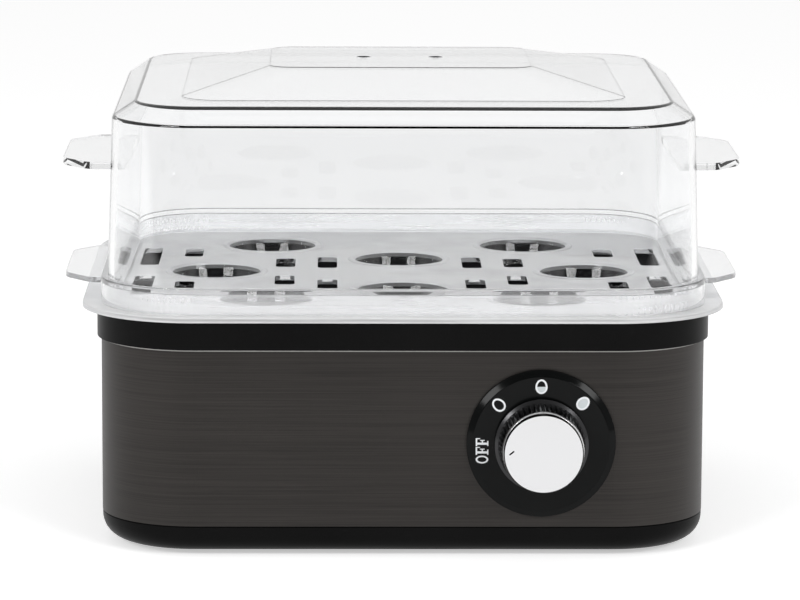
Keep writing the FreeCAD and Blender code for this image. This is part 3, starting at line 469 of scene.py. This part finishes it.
SLOT_FINISHES = {"casing_metal": BAND_METAL, "clear_moulding": LID_CLEAR}
SLOT_FINISHES |= {finish.name: finish for finish in (
    DIAL_GLOSS, KNOB_PLATING,
    Moulding("black_moulding", srgb(15, 15, 15), roughness=0.36, specular=0.05),
    Moulding("foot_rubber", srgb(34, 34, 35), roughness=0.8, grain=0.6),
    Moulding("seal_silicone", srgb(196, 190, 180), roughness=0.55, grain=0.8),
    Moulding("pan_coating", srgb(14, 14, 15), mottle=0.7, roughness=0.5, grain=0.5, specular=0.03),
    Metal("zinc_steel", srgb(186, 188, 192), roughness=0.34),
    Metal("element_sheath", srgb(150, 140, 128), roughness=0.42, mottle=0.3),
    Metal("tab_brass", srgb(205, 172, 108), roughness=0.3),
    Moulding("cutout_body", srgb(60, 46, 38), roughness=0.5),
    Moulding("fuse_sleeve", srgb(214, 210, 200), roughness=0.7, grain=0.9),
    Moulding("regulator_moulding", srgb(52, 50, 48), roughness=0.5),
    Moulding("cam_nylon", srgb(226, 224, 216), roughness=0.4, mottle=0.05),
    Moulding("core_moulding", srgb(40, 40, 42), roughness=0.5),
    Moulding("gland_moulding", srgb(28, 28, 29), roughness=0.5),
    Moulding("block_moulding", srgb(228, 226, 220), roughness=0.45, mottle=0.05))}


# Studio


@dataclass
class Studio:
    """Camera, lamps, sky and floor."""

    eye: Point = (-26.43, -1528.08, 332.04)
    target: Point = (-0.02, 0.0, 73.27)
    lens: float = 194.97
    roll: float = 0.25
    sky: float = 0.5
    dark_from: float = -0.35
    dark_full: float = -0.7
    dark_share: float = 0.97
    mirror_share: float = 0.87
    floor_size: float = 9000.0
    lamp_size: tuple[float, float] = (760.0, 420.0)
    lamp_watts: float = 11.0
    lamps: dict[str, Point] = field(default_factory=lambda: {
        "lamp_left": (-978.0, -1252.0, 845.0), "lamp_right": (978.0, -1252.0, 845.0)})

    def build(self) -> None:
        """Sets up everything that isn't the object."""
        self._camera()
        self._sky()
        self._floor()
        for name, place in self.lamps.items():
            self._lamp(name, Vector(place) * MM)
        bpy.context.scene.view_settings.view_transform = "Standard"

    def _camera(self) -> None:
        """Camera at the photograph's angle and distance."""
        data = bpy.data.cameras.new("camera")
        data.lens = self.lens
        data.sensor_width = 36.0
        data.clip_start, data.clip_end = 0.01, 50.0
        camera = bpy.data.objects.new("camera", data)
        bpy.context.scene.collection.objects.link(camera)
        eye, target = Vector(self.eye) * MM, Vector(self.target) * MM
        turn = (target - eye).to_track_quat("-Z", "Y").to_matrix().to_4x4()
        camera.matrix_world = (Matrix.Translation(eye) @ turn
                               @ Matrix.Rotation(math.radians(self.roll), 4, "Z"))
        bpy.context.scene.camera = camera

    def _sky(self) -> None:
        """White room, dark on the photographer's side for mirrors and clear plastic, softer as a light."""
        world = bpy.data.worlds.new("studio_sky")
        bpy.context.scene.world = world
        world.use_nodes = True
        sheet = Sheet(world.node_tree)
        looked_at, mirrored = sheet.rays()
        way = sheet.node("SeparateXYZ", {}, {0: sheet.node("TexCoord").outputs["Generated"]})
        front = Value(sheet, way.outputs["Y"]).ramp(self.dark_from, self.dark_full)
        seen = looked_at.most(mirrored * self.mirror_share * (1 - front * self.dark_share))
        strength = seen + (1 - looked_at.most(mirrored)) * self.sky
        glow = sheet.node("Background", {}, {"Color": (1.0, 1.0, 1.0), "Strength": strength})
        sheet.node("OutputWorld", {}, {"Surface": glow.outputs[0]})

    def _floor(self) -> None:
        """Wide floor under the feet."""
        bpy.ops.object.select_all(action="DESELECT")
        bpy.ops.mesh.primitive_plane_add(size=self.floor_size * MM)
        floor = bpy.context.object
        floor.name = "floor"
        floor.data.materials.append(STUDIO_FLOOR.material())

    def _lamp(self, name: str, place: Vector) -> None:
        """Wide soft lamp that looks at the object."""
        data = bpy.data.lights.new(name, "AREA")
        data.shape = "RECTANGLE"
        data.size, data.size_y = (size * MM for size in self.lamp_size)
        data.energy = self.lamp_watts
        lamp = bpy.data.objects.new(name, data)
        bpy.context.scene.collection.objects.link(lamp)
        lamp.location = place
        lamp.rotation_euler = (-place).to_track_quat("-Z", "Y").to_euler()


# Modelling


class Pick(Enum):
    """What a selection is made of."""

    CORNERS = "VERT"
    EDGES = "EDGE"
    FACES = "FACE"


class Shape:
    """One mesh that is modelled with Blender's own tools. Its lengths are millimetres."""

    def __init__(self, name: str) -> None:
        self.object = bpy.context.object
        self.object.name = name
        self.object.data.name = name
        bpy.ops.object.transform_apply(location=True, rotation=True, scale=True)

    @classmethod
    def block(cls, name: str, low: Point, high: Point) -> "Shape":
        """Block between two corners."""
        bpy.ops.object.select_all(action="DESELECT")
        middle = (Vector(low) + Vector(high)) / 2 * MM
        size = (Vector(high) - Vector(low)) * MM
        bpy.ops.mesh.primitive_cube_add(size=1.0, location=middle, scale=size)
        return cls(name)

    @classmethod
    def slab(cls, name: str, plan: Plan, low: float, high: float, place: tuple[float, float] = (0, 0),
             segments: int = 16) -> "Shape":
        """Upright block with rounded corners.

        Args:
            name: the object's name.
            plan: width, depth and corner radius.
            low: level of its underside.
            high: level of its top.
            place: middle of the plan.
            segments: edges round each corner.

        Returns:
            The shape.
        """
        x, y = place
        half_width, half_depth = plan[0] / 2, plan[1] / 2
        made = cls.block(name, (x - half_width, y - half_depth, low), (x + half_width, y + half_depth, high))
        made.bevel(lambda _, way: abs(way.z) > STEEP, plan[2], segments)
        return made

    @classmethod
    def drum(cls, name: str, profile: list[tuple[float, float]], base: Point, way: Point,
             sides: int = 96) -> "Shape":
        """Turned shape.

        Args:
            name: the object's name.
            profile: radius and distance along the axis of each step.
            base: where the distances start.
            way: direction of the axis.
            sides: edges round the axis.

        Returns:
            The shape.
        """
        axis = Vector(way).normalized()
        (first, start), (_, end) = profile[0], profile[1]
        bpy.ops.object.select_all(action="DESELECT")
        bpy.ops.mesh.primitive_cylinder_add(
            vertices=sides, radius=first * MM, depth=(end - start) * MM, end_fill_type="NGON",
            location=(Vector(base) + axis * (start + end) / 2) * MM,
            rotation=Vector((0, 0, 1)).rotation_difference(axis).to_euler())
        made = cls(name)
        level, radius = end, first
        for step, (wide, along) in enumerate(profile[1:]):
            made.pick(Pick.FACES, lambda middle, normal: normal.dot(axis) > 0.99
                      and (middle - Vector(base) - axis * level).length < NEAR)
            if step:
                made.extrude(axis * (along - level))
            made.resize((wide / radius,) * 3, Vector(base) + axis * along)
            level, radius = along, wide
        return made

    @contextmanager
    def editing(self) -> Iterator[None]:
        """Edit mode for the length of a with block."""
        activate(self.object)
        bpy.ops.object.mode_set(mode="EDIT")
        yield
        bpy.ops.object.mode_set(mode="OBJECT")

    def pick(self, kind: Pick, test: Test) -> int:
        """Selects by place and direction.

        Args:
            kind: corners, edges or faces.
            test: takes the middle in millimetres, and the normal, or an edge's direction.

        Returns:
            How many are selected.
        """
        with self.editing():
            bpy.ops.mesh.select_mode(type=kind.value)
            bpy.ops.mesh.select_all(action="DESELECT")
            mesh = bmesh.from_edit_mesh(self.object.data)
            parts = {Pick.CORNERS: mesh.verts, Pick.EDGES: mesh.edges, Pick.FACES: mesh.faces}[kind]
            count = 0
            for part in parts:
                if kind is Pick.CORNERS:
                    middle, way = part.co / MM, part.normal
                elif kind is Pick.EDGES:
                    ends = [corner.co for corner in part.verts]
                    middle, way = (ends[0] + ends[1]) / 2 / MM, (ends[1] - ends[0]).normalized()
                else:
                    middle, way = part.calc_center_median() / MM, part.normal
                if test(middle, way):
                    part.select_set(True)
                    count += 1
            mesh.select_flush_mode()
            bmesh.update_edit_mesh(self.object.data)
        return count

    def bevel(self, test: Test, width: float, segments: int = 3) -> None:
        """Rounds the edges that pass a test."""
        if self.pick(Pick.EDGES, test):
            with self.editing():
                bpy.ops.mesh.bevel(offset=width * MM, segments=segments, affect="EDGES", profile=0.5)

    def raise_face(self, test: Test, inwards: float, up: float) -> None:
        """Insets the faces that pass a test and moves them along their normal."""
        self.pick(Pick.FACES, test)
        with self.editing():
            bpy.ops.mesh.inset(thickness=inwards * MM, depth=up * MM)

    def top(self) -> Test:
        """Test for the faces at the shape's highest level that look up."""
        high = max(corner.co.z for corner in self.object.data.vertices) / MM
        return lambda middle, normal: normal.z > STEEP and abs(middle.z - high) < NEAR

    def extrude(self, move: Point | Vector) -> None:
        """Extrudes the selected faces."""
        with self.editing():
            bpy.ops.mesh.extrude_region_move(TRANSFORM_OT_translate={"value": Vector(move) * MM})

    def resize(self, shares: Point, centre: Point | Vector) -> None:
        """Resizes what is selected about a point."""
        with self.editing():
            bpy.ops.transform.resize(value=shares, center_override=Vector(centre) * MM)

    def turn(self, degrees: float, centre: Point | Vector) -> None:
        """Turns the whole shape about a line through a point, from front to back."""
        with self.editing():
            bpy.ops.mesh.select_all(action="SELECT")
            bpy.ops.transform.rotate(value=math.radians(degrees), orient_axis="Y", orient_type="GLOBAL",
                                     center_override=Vector(centre) * MM)

    def modify(self, kind: str, **settings: object) -> None:
        """Adds a modifier and applies it."""
        activate(self.object)
        modifier = self.object.modifiers.new(kind.lower(), kind)
        for name, setting in settings.items():
            setattr(modifier, name, setting)
        bpy.ops.object.modifier_apply(modifier=modifier.name)

    def combine(self, others: Iterable["Shape"], operation: str) -> None:
        """Joins, cuts or keeps what is shared with other shapes, which it uses up."""
        for other in others:
            self.modify("BOOLEAN", operation=operation, solver="EXACT", object=other.object)
            bpy.data.objects.remove(other.object, do_unlink=True)

    def add(self, *others: "Shape") -> None:
        """Joins other shapes on."""
        self.combine(others, "UNION")

    def cut(self, *others: "Shape") -> None:
        """Cuts other shapes out."""
        self.combine(others, "DIFFERENCE")

    def soften(self, width: float, segments: int = 2, angle: float = 28.0) -> None:
        """Rounds every edge sharper than an angle a little, and keeps flat faces flat."""
        activate(self.object)
        bpy.ops.object.shade_smooth_by_angle(angle=math.radians(SMOOTH_BELOW))
        self.modify("BEVEL", width=width * MM, segments=segments, limit_method="ANGLE",
                    angle_limit=math.radians(angle), harden_normals=True, miter_outer="MITER_ARC")
        self.modify("WEIGHTED_NORMAL", mode="FACE_AREA", weight=90, keep_sharp=True)

    def sharpen(self, test: Test) -> None:
        """Keeps the edges that pass a test crisp when the rest is shaded smooth."""
        self.pick(Pick.EDGES, test)
        with self.editing():
            bpy.ops.mesh.mark_sharp()

    @staticmethod
    def join(shapes: Iterable["Shape"]) -> "Shape":
        """Makes one object of several that don't touch."""
        first, *others = shapes
        activate(first.object, *(other.object for other in others))
        bpy.ops.object.join()
        return first

    def tidy(self) -> None:
        """Merges doubles and points every face outwards."""
        with self.editing():
            bpy.ops.mesh.select_all(action="SELECT")
            bpy.ops.mesh.remove_doubles(threshold=0.002 * MM)
            bpy.ops.mesh.normals_make_consistent(inside=False)

    def finish(self, finish: Finish, body: str, replaced: tuple[str, ...] = (), slot: str = "") -> None:
        """Dresses the shape and makes it ride on a body.

        Args:
            finish: what it is made of.
            body: the body that it moves with.
            replaced: the nodes that it stands for.
            slot: the record's material slot, if its finish is one of those; not used.
        """
        self.object.data.materials.clear()
        self.object.data.materials.append(finish.material())
        if replaced:
            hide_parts(*replaced)
        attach(self.object, body)
        log.info("%s: %d faces, %s", self.object.name, len(self.object.data.polygons), finish.name)


# The object


class Side(Enum):
    """Left or right, seen from the front."""

    LEFT = -1
    RIGHT = 1


@dataclass
class FingerTab:
    """Plate with slanted ends that stands out from a wall."""

    reach: float
    root_at: float
    low: float
    sheet: float
    tip: float = 49.0
    root: float = 74.0
    slant: float = 9.5
    corner: float = 3.0

    def shapes(self) -> list[Shape]:
        """Makes the tabs of both sides."""
        return [self._one(side.value) for side in Side]

    def _one(self, side: int) -> Shape:
        """Makes the tab of one side, 1 for the right and -1 for the left."""
        ends = sorted((side * self.root_at, side * (self.reach - self.slant)))
        tab = Shape.block("tab", (ends[0], -self.root / 2, self.low),
                          (ends[1], self.root / 2, self.low + self.sheet))
        tab.pick(Pick.FACES, lambda _, normal: normal.x * side > STEEP)
        tab.extrude((side * self.slant, 0, 0))
        tab.resize((1, self.tip / self.root, 1), (0, 0, 0))
        start = self.root_at + 1.0
        tab.bevel(lambda middle, way: abs(way.z) > STEEP and middle.x * side > start, self.corner, 6)
        return tab


@dataclass
class Lid:
    """Clear lid: plug, flange, drafted walls, shoulder, raised panel, vents and finger tabs."""

    rim: Plan = (207.2, 190.0, 33.0)
    rim_top: float = 90.8
    plug_in: float = 2.4
    plug: float = 5.8
    wall: float = 2.0
    flange: float = 1.9
    flange_round: float = 0.6
    height: float = 54.9
    draft: float = 1.8
    chamfer_in: float = 8.0
    chamfer_up: float = 5.4
    shoulder_round: float = 0.8
    top_round: float = 0.5
    panel: Plan = (152.0, 140.0, 14.0)
    panel_back: float = 4.0
    panel_rise: float = 4.0
    panel_step: float = 0.1
    plateau: tuple[float, float] = (93.0, 66.0)
    plateau_back: float = 33.0
    plateau_step: float = 0.06
    steam_radius: float = 2.5
    steam_across: float = 13.0
    tab: FingerTab = field(default_factory=lambda: FingerTab(118.6, 98.0, 125.4, 2.5))

    def build(self) -> None:
        """Makes the lid."""
        flange_top = self.rim_top + self.flange
        shoulder = flange_top + self.height
        top = shoulder + self.chamfer_up
        plan = inset(self.rim, self.plug_in)
        low = self.rim_top - self.plug
        lid = Shape.slab("lid_moulding", plan, low, flange_top, segments=24)
        lid.raise_face(lid.top(), self.draft, self.height)
        lid.raise_face(lid.top(), self.chamfer_in, self.chamfer_up)
        for level, width in ((shoulder, self.shoulder_round), (top, self.top_round)):
            lid.bevel(level_edges(level), width, 4)
        flange = Shape.slab("flange", self.rim, self.rim_top, flange_top, segments=24)
        flange.bevel(level_edges(flange_top), self.flange_round, 3)
        panel = self._panel(top - self.wall / 2, top + self.panel_step, self.plateau_step)
        lid.add(flange, panel, *self.tab.shapes())
        lid.cut(self._hollow(plan, low, flange_top, shoulder, top), *self._vents(top))
        lid.tidy()
        creases = (top - self.wall, top - self.wall + self.panel_rise)
        lid.sharpen(lambda middle, way: abs(way.z) < 0.01
                    and min(abs(middle.z - crease) for crease in creases) < 2 * NEAR)
        inside = inset(plan, self.wall / 2)
        lid.sharpen(lambda middle, _: abs(middle.z - flange_top) < 2 * NEAR
                    and abs(middle.x) < inside[0] / 2 and abs(middle.y) < inside[1] / 2)
        lid.soften(0.2)
        lid.finish(LID_CLEAR, "lid", ("lid",), "clear_moulding")

    def _panel(self, low: float, start: float, step: float) -> Shape:
        """Raised panel, or its hollow, which slopes from a start to a stepped plateau at the back."""
        panel = Shape.slab("panel", self.panel, low, start, (0, self.panel_back), 16)
        rise = self.panel_rise - step - (self.panel_step if step else 0.0)
        panel.pick(Pick.FACES, panel.top())
        panel.extrude((0, self.plateau_back - self.panel_back, rise))
        panel.resize((self.plateau[0] / self.panel[0], self.plateau[1] / self.panel[1], 1),
                     (0, self.plateau_back, 0))
        if step:
            panel.extrude((0, 0, step))
        return panel

    def _hollow(self, plan: Plan, low: float, flange_top: float, shoulder: float, top: float) -> Shape:
        """Shape of the space inside."""
        slope = math.atan2(self.chamfer_up, self.chamfer_in)
        drop = self.wall * math.tan(math.pi / 4 - slope / 2)
        top_in = self.wall * math.tan(slope / 2)
        hollow = Shape.slab("hollow", inset(plan, self.wall), low - PAST, flange_top, segments=24)
        hollow.raise_face(hollow.top(), self.draft, self.height - drop)
        hollow.raise_face(hollow.top(), self.chamfer_in + top_in - self.wall,
                          top - self.wall - (shoulder - drop))
        hollow.add(self._panel(top - 2 * self.wall, top - self.wall, 0.0))
        return hollow

    def _vents(self, top: float) -> list[Shape]:
        """Cutters of the two steam vents."""
        return [Shape.drum("vent", [(self.steam_radius, -6.0), (self.steam_radius, 6.0)],
                           (side.value * self.steam_across, self.plateau_back, top), UP, 32)
                for side in Side]


@dataclass
class EggRack:
    """Clear rack: plate, rim, locating lip, eight beaded collars, slots and finger tabs."""

    plate: Plan = (220.0, 198.0, 39.0)
    low: float = 82.0
    sheet: float = 1.8
    rim: Plan = (207.2, 190.0, 33.0)
    rim_wall: float = 2.0
    rim_height: float = 7.0
    lip: Plan = (196.2, 174.2, 27.1)
    lip_wall: float = 1.6
    lip_low: float = 79.3
    edge: float = 0.6
    hole: float = 17.15
    mouth: float = 1.6
    collar: float = 9.0
    flare: float = 25.0
    flare_lean: float = 24.0
    collar_wall: float = 1.5
    bead: float = 0.5
    bead_width: float = 1.3
    round_shares: tuple = (0.15, 0.3, 0.45, 0.6, 0.75, 0.9, 1.0)
    slot_corner: float = 1.8
    side_slot: float = 8.0
    inner_slot: float = 7.0
    egg_shares: tuple = ((-0.456, 0.640), (0.456, 0.640), (-0.647, 0), (0.647, 0),
                         (-0.463, -0.634), (0.463, -0.634), (0, 0.296), (0, -0.425))
    side_shares: tuple = ((0.903, 0.359, 0.423), (0.903, -0.320, 0.423))
    inner_shares: tuple = ((0.256, 0.214, 0.268), (0.256, -0.323, 0.268), (0.737, 0.452, 0.194),
                           (0.404, 0.208, 0.212), (0.404, -0.206, 0.212), (0.750, -0.344, 0.215))
    tab: FingerTab = field(default_factory=lambda: FingerTab(118.0, 102.6, 85.6, 1.8))

    def build(self) -> None:
        """Makes the rack."""
        top = self.low + self.sheet
        rack = Shape.slab("rack_moulding", self.plate, self.low, top, segments=24)
        rack.bevel(level_edges(top), self.edge, 3)
        rim = self._ring("rim", self.rim, self.rim_wall, top - self.sheet / 2, top + self.rim_height)
        lip = self._ring("lip", self.lip, self.lip_wall, self.lip_low, self.low + self.sheet / 2)
        rack.add(rim, lip, *self.tab.shapes())
        half = (self.rim[0] / 2 - self.rim_wall, self.rim[1] / 2 - self.rim_wall)
        places = [(x * half[0], y * half[1]) for x, y in self.egg_shares]
        rack.add(Shape.join(self._collar(x, y, top) for x, y in places))
        rack.cut(Shape.join([self._hole(x, y, top) for x, y in places] + self._slots(half, top)))
        rack.tidy()
        rack.soften(0.22)
        rack.finish(RACK_CLEAR, "rack", ("egg_rack",), "clear_moulding")

    @staticmethod
    def _ring(name: str, plan: Plan, wall: float, low: float, high: float) -> Shape:
        """Wall of even thickness along the inside of a plan."""
        ring = Shape.slab(name, plan, low, high, segments=24)
        ring.cut(Shape.slab("inside", inset(plan, wall), low - PAST, high + PAST, segments=24))
        return ring

    def _flare(self) -> list[tuple[float, float]]:
        """Inside of a collar in section: radius and level, from its foot to the rounding of its mouth."""
        lean = math.radians(self.flare_lean)
        middle = self.hole + (self.flare - self.mouth) * math.cos(lean)
        level = self.bead - self.mouth - (self.flare - self.mouth) * math.sin(lean)
        foot = math.asin((-self.collar - level) / self.flare)
        turns = [foot + (lean - foot) * share for share in (0.0, *self.round_shares)]
        return [(middle - self.flare * math.cos(turn), level + self.flare * math.sin(turn))
                for turn in turns]

    def _collar(self, x: float, y: float, top: float) -> Shape:
        """Flared collar with a bead round its mouth."""
        profile = [(self._flare()[0][0] + self.collar_wall, -self.collar),
                   (self.hole - self.mouth + self.collar_wall, -self.sheet / 2),
                   (self.hole + self.bead_width, -self.sheet / 2)]
        for share in (0.0, *self.round_shares[:-1]):
            turn = share * math.pi / 2
            profile.append((self.hole + self.bead_width * math.cos(turn), self.bead * math.sin(turn)))
        return Shape.drum("collar", profile, (x, y, top), UP, 64)

    def _hole(self, x: float, y: float, top: float) -> Shape:
        """Cutter of one egg hole, whose mouth is rounded in section."""
        flare = self._flare()
        profile = [(flare[0][0], -self.collar - PAST), *flare]
        lean = math.radians(self.flare_lean)
        for share in self.round_shares:
            turn = lean + share * (math.pi / 2 - lean)
            profile.append((self.hole - self.mouth * math.cos(turn),
                            self.bead - self.mouth * (1 - math.sin(turn))))
        profile.append((self.hole, self.bead + PAST))
        return Shape.drum("hole", profile, (x, y, top), UP, 64)

    def _slots(self, half: tuple[float, float], top: float) -> list[Shape]:
        """Cutters of every slot."""
        tables = ((self.side_slot, self.side_shares), (self.inner_slot, self.inner_shares))
        return [Shape.slab("slot", (width, share_long * half[1], self.slot_corner),
                           self.low - PAST, top + PAST,
                           (side.value * share_x * half[0], share_y * half[1]), 5)
                for side in Side for width, table in tables for share_x, share_y, share_long in table]


@dataclass
class Dial:
    """Glossy disc with its printed signs."""

    radius: float = 25.25
    thickness: float = 2.4
    bevel_in: float = 2.1
    bevel_up: float = 1.2
    hole: float = 4.2
    axis: Point = (46.305, -92.6, 40.0016)
    print_height: float = 0.03
    print_sunk: float = 0.1
    sign_circle: float = 19.6
    egg_turns: tuple[float, float, float] = (47.0, 0.5, -44.6)
    egg_width: float = 4.1
    egg_up: float = 2.7
    egg_down: float = 2.3
    ring: float = 0.62
    half_level: float = 0.15
    word_place: tuple[float, float] = (-22.2, -6.6)
    capital: float = 4.3
    letter: float = 2.7
    letter_pitch: float = 3.0
    stroke_widths: tuple[float, float] = (0.62, 0.5)
    stroke_shares: tuple = ((0.16, 0.44, 0.0, 1.0), (0.0, 0.66, 0.0, 0.1), (0.0, 1.0, 0.88, 1.0),
                            (0.3, 0.74, 0.43, 0.53), (0.88, 1.0, 0.66, 0.98), (0.66, 0.78, 0.3, 0.66))

    def build(self) -> None:
        """Makes the disc and its signs."""
        disc = Shape.drum("dial_disc", [(self.radius, 0), (self.radius, self.thickness - self.bevel_up),
                                        (self.radius - self.bevel_in, self.thickness)],
                          self.axis, FRONT, 128)
        disc.cut(Shape.drum("hole", [(self.hole, -PAST), (self.hole, self.thickness + PAST)],
                            self.axis, FRONT, 48))
        disc.tidy()
        disc.soften(0.18, 3, 20.0)
        disc.finish(DIAL_GLOSS, "base", ("dial_plate",), "dial_gloss")
        self._signs()

    def _signs(self) -> None:
        """Prints the word OFF and the three eggs."""
        white = self._word() + [self._egg(turn, self.ring) for turn in self.egg_turns]
        fills = [self._egg(self.egg_turns[1], None), self._egg(self.egg_turns[2], None)]
        x, face, z = self._face()
        room = 2 * self.egg_width
        level = z + self.sign_circle
        fills[0].cut(Shape.block("upper_half", (x - room, face - room, level + self.half_level),
                                 (x + room, face + room, level + room)))
        for name, finish, shapes in (("dial_print", SIGN_PRINT, white), ("dial_fills", SIGN_FILL, fills)):
            prints = Shape.join(shapes)
            prints.object.name = name
            prints.tidy()
            prints.finish(finish, "base")

    def _face(self) -> Point:
        """Middle of the disc's face."""
        x, y, z = self.axis
        return x, y - self.thickness, z

    def _drum(self, name: str, radius: float, middle: Point, extra: float, sides: int) -> Shape:
        """Round print on the face, which stands further out and in by an extra if it is a cutter."""
        x, face, z = middle
        return Shape.drum(name, [(radius, 0), (radius, self.print_sunk + self.print_height + 2 * extra)],
                          (x, face + self.print_sunk + extra, z), FRONT, sides)

    def _egg(self, turn: float, ring: float | None) -> Shape:
        """Egg sign turned to the left by degrees: an outline of some width, or what the outline holds."""
        egg = self._oval(0.0 if ring else self.ring)
        if ring:
            egg.cut(self._oval(ring, PAST))
        egg.turn(turn, self.axis)
        return egg

    def _oval(self, margin: float, extra: float = 0.0) -> Shape:
        """Egg-shaped plate above the dial's axis, its narrow end up."""
        radius = self.egg_width / 2 - margin
        x, face, z = self._face()
        middle = (x, face, z + self.sign_circle)
        oval = self._drum("egg", radius, middle, extra, 48)
        for side, reach in ((1, self.egg_up), (-1, self.egg_down)):
            oval.pick(Pick.CORNERS, lambda place, _: (place.z - middle[2]) * side > NEAR)
            oval.resize((1, 1, (reach - margin) / radius), middle)
        return oval

    def _word(self) -> list[Shape]:
        """Makes the word, which reads upwards on the left."""
        x, face, z = self._face()
        left, low = x + self.word_place[0], z + self.word_place[1]
        middle = (left + self.capital / 2, face, low + self.letter / 2)
        rings = []
        for margin_x, margin_z, extra in ((0.0, 0.0, 0.0), (*self.stroke_widths, PAST)):
            ring = self._drum("letter_o", 1.0, middle, extra, 40)
            ring.pick(Pick.CORNERS, lambda place, _: True)
            ring.resize((self.capital / 2 - margin_x, 1, self.letter / 2 - margin_z), middle)
            rings.append(ring)
        rings[0].cut(rings[1])
        letters = [rings[0]]
        for place in (1, 2):
            start = low + place * self.letter_pitch
            strokes = [Shape.block("stroke", (left + self.capital * (1 - high), face - self.print_height,
                                              start + self.letter * from_),
                                   (left + self.capital * (1 - base), face + self.print_sunk,
                                    start + self.letter * to))
                       for from_, to, base, high in self.stroke_shares]
            strokes[0].add(*strokes[1:])
            letters.append(strokes[0])
        return letters


@dataclass
class Knob:
    """Plated knob: skirt, fluted neck, bevel and an inlaid face with a pointer mark."""

    axis: Point = (46.305, -92.6, 40.0016)
    start: float = 3.2
    skirt_radius: float = 15.9
    skirt: float = 1.7
    neck_radius: float = 14.7
    neck_start: float = 2.5
    shoulder_radius: float = 13.85
    bevel_start: float = 12.6
    face_radius: float = 13.4
    boss_start: float = 13.3
    length: float = 16.0
    groove: float = 0.25
    edge: float = 0.3
    flutes: int = 48
    flute_depth: float = 0.45
    flute_margin: float = 0.4
    flute_end: float = 0.3
    hollow_radius: float = 12.2
    hollow: float = 14.0
    mark: tuple[float, float, float] = (1.9, 0.34, 0.4)
    mark_reach: float = 10.7
    mark_rise: float = 0.4
    mark_turn: float = 38.0

    def build(self) -> None:
        """Makes the knob."""
        base = (self.axis[0], self.axis[1] - self.start, self.axis[2])
        low, high = self.neck_start + self.flute_margin, self.bevel_start - self.flute_margin
        run = self.bevel_start - self.neck_start
        taper = (self.neck_radius - self.shoulder_radius) / run
        low_radius = self.neck_radius - taper * self.flute_margin
        high_radius = self.shoulder_radius + taper * self.flute_margin
        face = self.face_radius - self.edge
        waist, waist_end = self.face_radius - self.groove, self.boss_start + self.groove
        knob = Shape.drum("knob_cap", [
            (self.skirt_radius, 0), (self.skirt_radius, self.skirt), (self.neck_radius, self.neck_start),
            (low_radius, low), (low_radius, low + self.flute_end),
            (high_radius, high - self.flute_end), (high_radius, high),
            (self.shoulder_radius, self.bevel_start), (self.face_radius, self.boss_start),
            (waist, self.boss_start), (waist, waist_end), (self.face_radius, waist_end),
            (self.face_radius, self.length - self.edge),
            (face + 0.3 * self.edge, self.length - 0.3 * self.edge), (face, self.length)],
            base, FRONT, 3 * self.flutes)
        centre = Vector(base)
        for along, radius in ((low + self.flute_end, low_radius), (high - self.flute_end, high_radius)):
            knob.pick(Pick.CORNERS, self._grooves(centre, along, radius))
            share = (radius - self.flute_depth) / radius
            knob.resize((share, 1, share), centre + Vector(FRONT) * along)
        knob.cut(Shape.drum("hollow", [(self.hollow_radius, -PAST), (self.hollow_radius, self.hollow)],
                            base, FRONT), self._mark())
        knob.tidy()
        knob.soften(0.12, 2, 32.0)
        knob.finish(KNOB_PLATING, "knob", ("knob_shell",), "knob_plating")

    def _grooves(self, centre: Vector, along: float, radius: float) -> Test:
        """Test for every third corner of the ring at one distance along the axis."""
        step = 2 * math.pi / self.flutes

        def test(middle: Vector, _: Vector) -> bool:
            reach = middle - centre
            if abs(-reach.y - along) > NEAR or abs(math.hypot(reach.x, reach.z) - radius) > 0.05:
                return False
            turn = math.atan2(reach.z, reach.x) / step
            return abs(turn - round(turn)) < 0.1

        return test

    def _mark(self) -> Shape:
        """Cutter of the slanted pointer mark."""
        length, width, depth = self.mark
        middle = Vector((self.axis[0] - self.mark_reach, self.axis[1] - self.start - self.length,
                         self.axis[2] + self.mark_rise))
        mark = Shape.block("mark", middle - Vector((length / 2, 1.0, width / 2)),
                           middle + Vector((length / 2, depth, width / 2)))
        mark.turn(self.mark_turn, middle)
        return mark


class CadParts:
    """The nodes that keep their own mesh and get a finish."""

    def build(self) -> None:
        """Dresses each node in the finish of its material slot."""
        slots = {row["node"]: row["material_slot"] for row in frame["record"]["subparts"]}
        for name, node in frame["nodes"].items():
            finish = SLOT_FINISHES[slots[name]]
            node.data.materials.clear()
            node.data.materials.append(finish.material())
            log.info("%s: %s", name, finish.name)


def main() -> None:
    """Builds the studio and the cooker."""
    logging.basicConfig(level=logging.INFO, format="%(message)s")
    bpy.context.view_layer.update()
    Studio().build()
    CadParts().build()
    for part in (Dial(), Knob(), EggRack(), Lid()):
        part.build()


if __name__ == "__main__":
    main()
